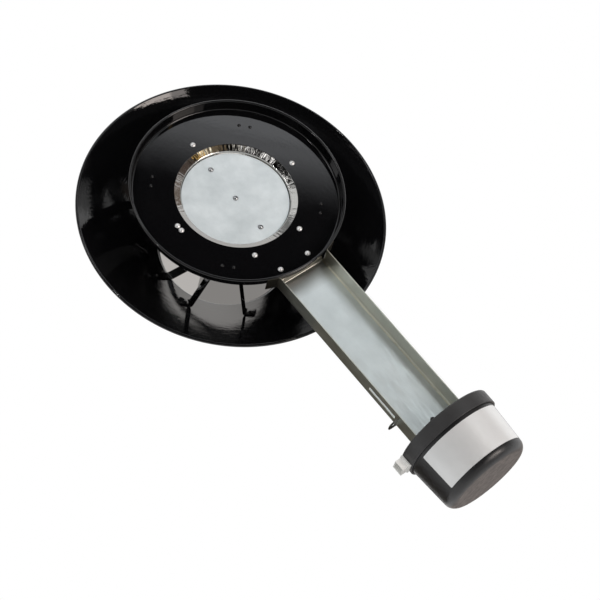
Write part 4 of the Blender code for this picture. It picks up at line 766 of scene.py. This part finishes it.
bm = bmesh.new()
bmesh.ops.create_grid(bm, x_segments=12, y_segments=72, size=1.0)
for vert in bm.verts:
    x = LABEL_START + LABEL_LENGTH * (vert.co.x + 1) / 2
    spoke = polar(cover_radius(x) + LABEL_LIFT, LABEL_MIDDLE + LABEL_HALF * vert.co.y)
    vert.co = Vector((x, spoke.x, CUP_Z + spoke.y)) * MM
corner_verts = [vert for vert in bm.verts if len(vert.link_edges) == 2]
bmesh.ops.bevel(bm, geom=corner_verts, offset=LABEL_CORNER * MM, offset_type="OFFSET", segments=4,
                profile=0.5, affect="VERTICES", material=-1)
bmesh.ops.recalc_face_normals(bm, faces=bm.faces)
make_piece("label_foil", bm, foil, "label_plate", "rating_label", wall=LABEL_SHEET)


# Wiring connector
# A square housing of milky nylon in the side of the base, with a lip against the wall and an open
# socket for the harness plug.
PLUG_HALF, PLUG_EDGE, LIP_Y, LIP_WIDTH, LIP_HEIGHT = 6.5, 0.35, 58.6, 2.4, 1.2
SOCKET_WALL, SOCKET_DEPTH = 1.6, 7.0

nylon, shader = start_finish("milky_nylon", (0.78, 0.77, 0.73), 0.42)
place = object_place(nylon)
colour_by(nylon, shader, noise(nylon, place, 150.0), (0.84, 0.84, 0.81), (0.92, 0.92, 0.90))
roughen_by(nylon, shader, noise(nylon, place, 300.0), 0.35, 0.50)

plug_low, plug_high = (corner.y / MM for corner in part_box("harness_connector"))
bm = block((PLUG_X - PLUG_HALF, plug_low, PLUG_Z - PLUG_HALF),
           (PLUG_X + PLUG_HALF, plug_high, PLUG_Z + PLUG_HALF))
for y in (LIP_Y, LIP_Y + LIP_WIDTH):
    bmesh.ops.bisect_plane(bm, geom=bm.verts[:] + bm.edges[:] + bm.faces[:], dist=DOUBLES,
                           plane_co=(0, y * MM, 0), plane_no=(0, 1, 0))
belt = [face for face in bm.faces if LIP_Y < face.calc_center_median().y / MM < LIP_Y + LIP_WIDTH]
bmesh.ops.inset_region(bm, faces=belt, thickness=0.0, depth=LIP_HEIGHT * MM, use_even_offset=True)
mouth = [face for face in bm.faces if face.normal.y > 0.9
         and face.calc_center_median().y > plug_high * MM - DOUBLES]
bmesh.ops.inset_region(bm, faces=mouth, thickness=SOCKET_WALL * MM, depth=0.0)
socket_floor = bmesh.ops.extrude_discrete_faces(bm, faces=mouth)["faces"][0]
bmesh.ops.translate(bm, verts=socket_floor.verts[:], vec=(0, -SOCKET_DEPTH * MM, 0))
bmesh.ops.remove_doubles(bm, verts=bm.verts, dist=DOUBLES)
bmesh.ops.recalc_face_normals(bm, faces=bm.faces)
corners = [edge for edge in bm.edges if edge.calc_face_angle(0.0) > 0.5]
bmesh.ops.bevel(bm, geom=corners, offset=PLUG_EDGE * MM, offset_type="OFFSET", segments=2, profile=0.5,
                affect="EDGES", material=-1)
make_piece("connector_housing", bm, nylon, "nylon", "harness_connector")


# Stage
# A pale floor far below and a white surround, with soft boxes on the camera's side. Dark flags that
# only mirrors see keep the gloss black, and small tinted cards give the polished duct its colours.
BLACK, WHITE = (0.0, 0.0, 0.0), (1.0, 1.0, 1.0)
PART_MIDDLE = (0.0, 0.0, 0.02)
FLOOR_Z = -2.6
RING_CARDS_AWAY = 1.37
BOX_AWAY, BOX_WIDTH, BOX_LOW, BOX_EDGE, STRIP_HEIGHT = 1.9, 1.7, 33.0, 50.9, 0.6
BOX_HEADING = -132.0
STRIP_STRENGTHS = (2.0, 1.6, 1.15, 0.75, 0.4, 0.16)


def stage_card(name, towards, distance, size, colour, strength, origin=PART_MIDDLE, mirrors_only=True):
    """An even card that faces the part from a direction; strength 0 makes it a plain dark flag."""
    aim = Vector(towards).normalized()
    turned = (-aim).to_track_quat("Z", "Y").to_matrix().to_4x4()
    place = Matrix.Translation(Vector(origin) + aim * distance) @ turned
    bm = bmesh.new()
    bmesh.ops.create_grid(bm, x_segments=1, y_segments=1, size=0.5,
                          matrix=place @ Matrix.Diagonal((*size, 1.0, 1.0)))
    card = stand(name, bm)
    material, shader = start_finish(name, BLACK, 1.0)
    shader.inputs["Specular IOR Level"].default_value = 0.0
    shader.inputs["Emission Color"].default_value = (*colour, 1.0)
    shader.inputs["Emission Strength"].default_value = strength
    card.data.materials.append(material)
    card.visible_camera = False
    card.visible_transmission = False
    card.visible_shadow = False
    card.visible_diffuse = not mirrors_only
    return card


bm = bmesh.new()
bmesh.ops.create_grid(bm, x_segments=1, y_segments=1, size=30.0, matrix=Matrix.Translation((0, 0, FLOOR_Z)))
floor = stand("floor", bm)
pale, shader = start_finish("pale_floor", (0.8, 0.8, 0.8), 0.9)
floor.data.materials.append(pale)

# The pan mirrors one wide soft box, whose strips fade towards its upper edge.
stage_card("ceiling_flag", DOWN, 2.2, (4.6, 4.6), BLACK, 0.0)
for number, strength in enumerate(STRIP_STRENGTHS):
    low = BOX_EDGE + number * STRIP_HEIGHT if number else BOX_LOW
    high = BOX_EDGE + (number + 1) * STRIP_HEIGHT
    middle = math.radians((low + high) / 2)
    towards = polar(math.cos(middle), BOX_HEADING, -math.sin(middle))
    size = (BOX_WIDTH, BOX_AWAY * math.radians(high - low))
    stage_card(f"pan_soft_box_{number}", towards, BOX_AWAY, size, (1.0, 1.02, 1.06), strength,
               mirrors_only=False)

# Soft boxes light the part and show in its gloss.
for name, towards, distance, size, colour, strength in (
    ("skirt_soft_box", (1.055, -0.573, -1.056), 1.6, (0.5, 0.62), (1.0, 0.90, 0.84), 9.0),
    ("skirt_fade_box", (1.169, -0.242, -1.056), 1.59, (0.2, 0.62), (1.0, 0.92, 0.88), 4.0),
    ("right_soft_box", (-0.53, 0.24, -0.81), 1.8, (0.35, 0.45), WHITE, 5.0),
    ("glint_lamp", (-0.285, 0.477, -0.832), 1.7, (0.08, 0.08), WHITE, 70.0),
):
    stage_card(name, towards, distance, size, colour, strength, mirrors_only=False)
stage_card("arm_soft_box", (-0.090, -0.489, -0.867), 1.99, (0.5, 0.44), (0.95, 1.0, 1.02), 1.9)

# Flags and a warm card stand where the arm, the right of the skirt, the legs and the cover's end look.
stage_card("flange_flag", (-0.318, 0.436, 0.842), 1.2, (1.3, 1.3), (0.5, 0.40, 0.27), 0.14,
           origin=(0.25, 0.04, 0.01), mirrors_only=False)
stage_card("side_flag", (-0.96, 0.10, -0.26), 1.5, (0.66, 0.46), BLACK, 0.0)
stage_card("lug_flag", (0.318, -0.436, 0.842), 0.15, (0.10, 0.10), BLACK, 0.0, origin=(0.3265, 0.041, 0.011))
stage_card("leg_flag", (-0.103, -0.662, 0.742), 0.35, (0.30, 0.30), BLACK, 0.0, origin=(0.085, 0.05, 0.045))
stage_card("end_card", (0.19, -0.46, 0.87), 0.8, (0.7, 0.7), (1.0, 0.87, 0.80), 0.62,
           origin=(0.436, 0.0, 0.0))

# Small cards give the polished duct its amber, cream, brown and white.
for name, towards, size, colour, strength in (
    ("amber_card", (0.210, -0.603, -1.214), (0.05, 0.06), (1.0, 0.62, 0.18), 1.5),
    ("cream_card", (0.221, -0.513, -1.256), (0.06, 0.06), (1.0, 0.93, 0.75), 1.8),
    ("olive_card", (0.170, -0.380, -1.310), (0.14, 0.18), (0.30, 0.23, 0.15), 0.55),
    ("streak_card", (0.076, -0.091, -1.376), (0.06, 0.05), (1.0, 0.96, 0.88), 1.2),
    ("top_glint", (-0.017, 0.012, -1.381), (0.05, 0.06), WHITE, 2.5),
    ("side_glint", (-0.260, 0.130, -1.349), (0.07, 0.07), WHITE, 2.5),
    ("ring_soft_box", (-0.900, -0.090, -1.000), (0.30, 0.40), (0.9, 0.92, 0.92), 0.7),
    ("ring_shade", (-1.051, -0.396, -0.746), (0.30, 0.28), (0.9, 0.92, 0.92), 0.18),
    ("umber_card", (0.107, -0.854, -1.059), (0.40, 0.30), (0.32, 0.24, 0.20), 0.22),
    ("brown_card", (0.060, -0.880, -0.470), (0.90, 0.68), (0.32, 0.26, 0.22), 0.45),
):
    stage_card(name, towards, RING_CARDS_AWAY, size, colour, strength)

# Grey cards far above are what the camera sees through the throat; their dim, even glow is painted shade
# that stands for a backdrop in the hood's shadow. A small one lights the throat's inside.
for name, distance, size, strength, origin in (
    ("throat_card", 2.0, (0.27, 0.19), 0.22, (0.031, 0.045, 0.128)),
    ("throat_edge_card", 1.9, (0.112, 0.11), 0.45, (-0.0283, 0.0968, 0.1324)),
):
    card = stage_card(name, (-0.351, -0.404, 0.845), distance, size, (1.0, 0.96, 0.92), strength,
                      origin=origin)
    card.visible_camera = True
stage_card("throat_glow", (-0.656, -0.755, 0.0), 0.071, (0.042, 0.034), (1.0, 0.97, 0.94), 1.0,
           origin=(0.0, 0.0, 0.165))

# The surround is white to the camera, to mirrors and through glass, and dimmer as a light.
world = bpy.data.worlds.new("studio")
world.use_nodes = True
bpy.context.scene.world = world
rays = add_node(world, "LightPath").outputs
seen = add_node(world, "Math", {0: rays["Is Camera Ray"], 1: rays["Is Transmission Ray"]},
                operation="MAXIMUM")
either = add_node(world, "Math", {0: seen.outputs[0], 1: rays["Is Glossy Ray"]}, operation="MAXIMUM")
level = add_node(world, "MapRange", {"Value": either.outputs[0], "To Min": 0.6, "To Max": 1.0})
surround = world.node_tree.nodes["Background"]
surround.inputs["Color"].default_value = (*WHITE, 1.0)
connect(world, level.outputs["Result"], surround.inputs["Strength"])

bpy.context.scene.view_settings.view_transform = "Standard"
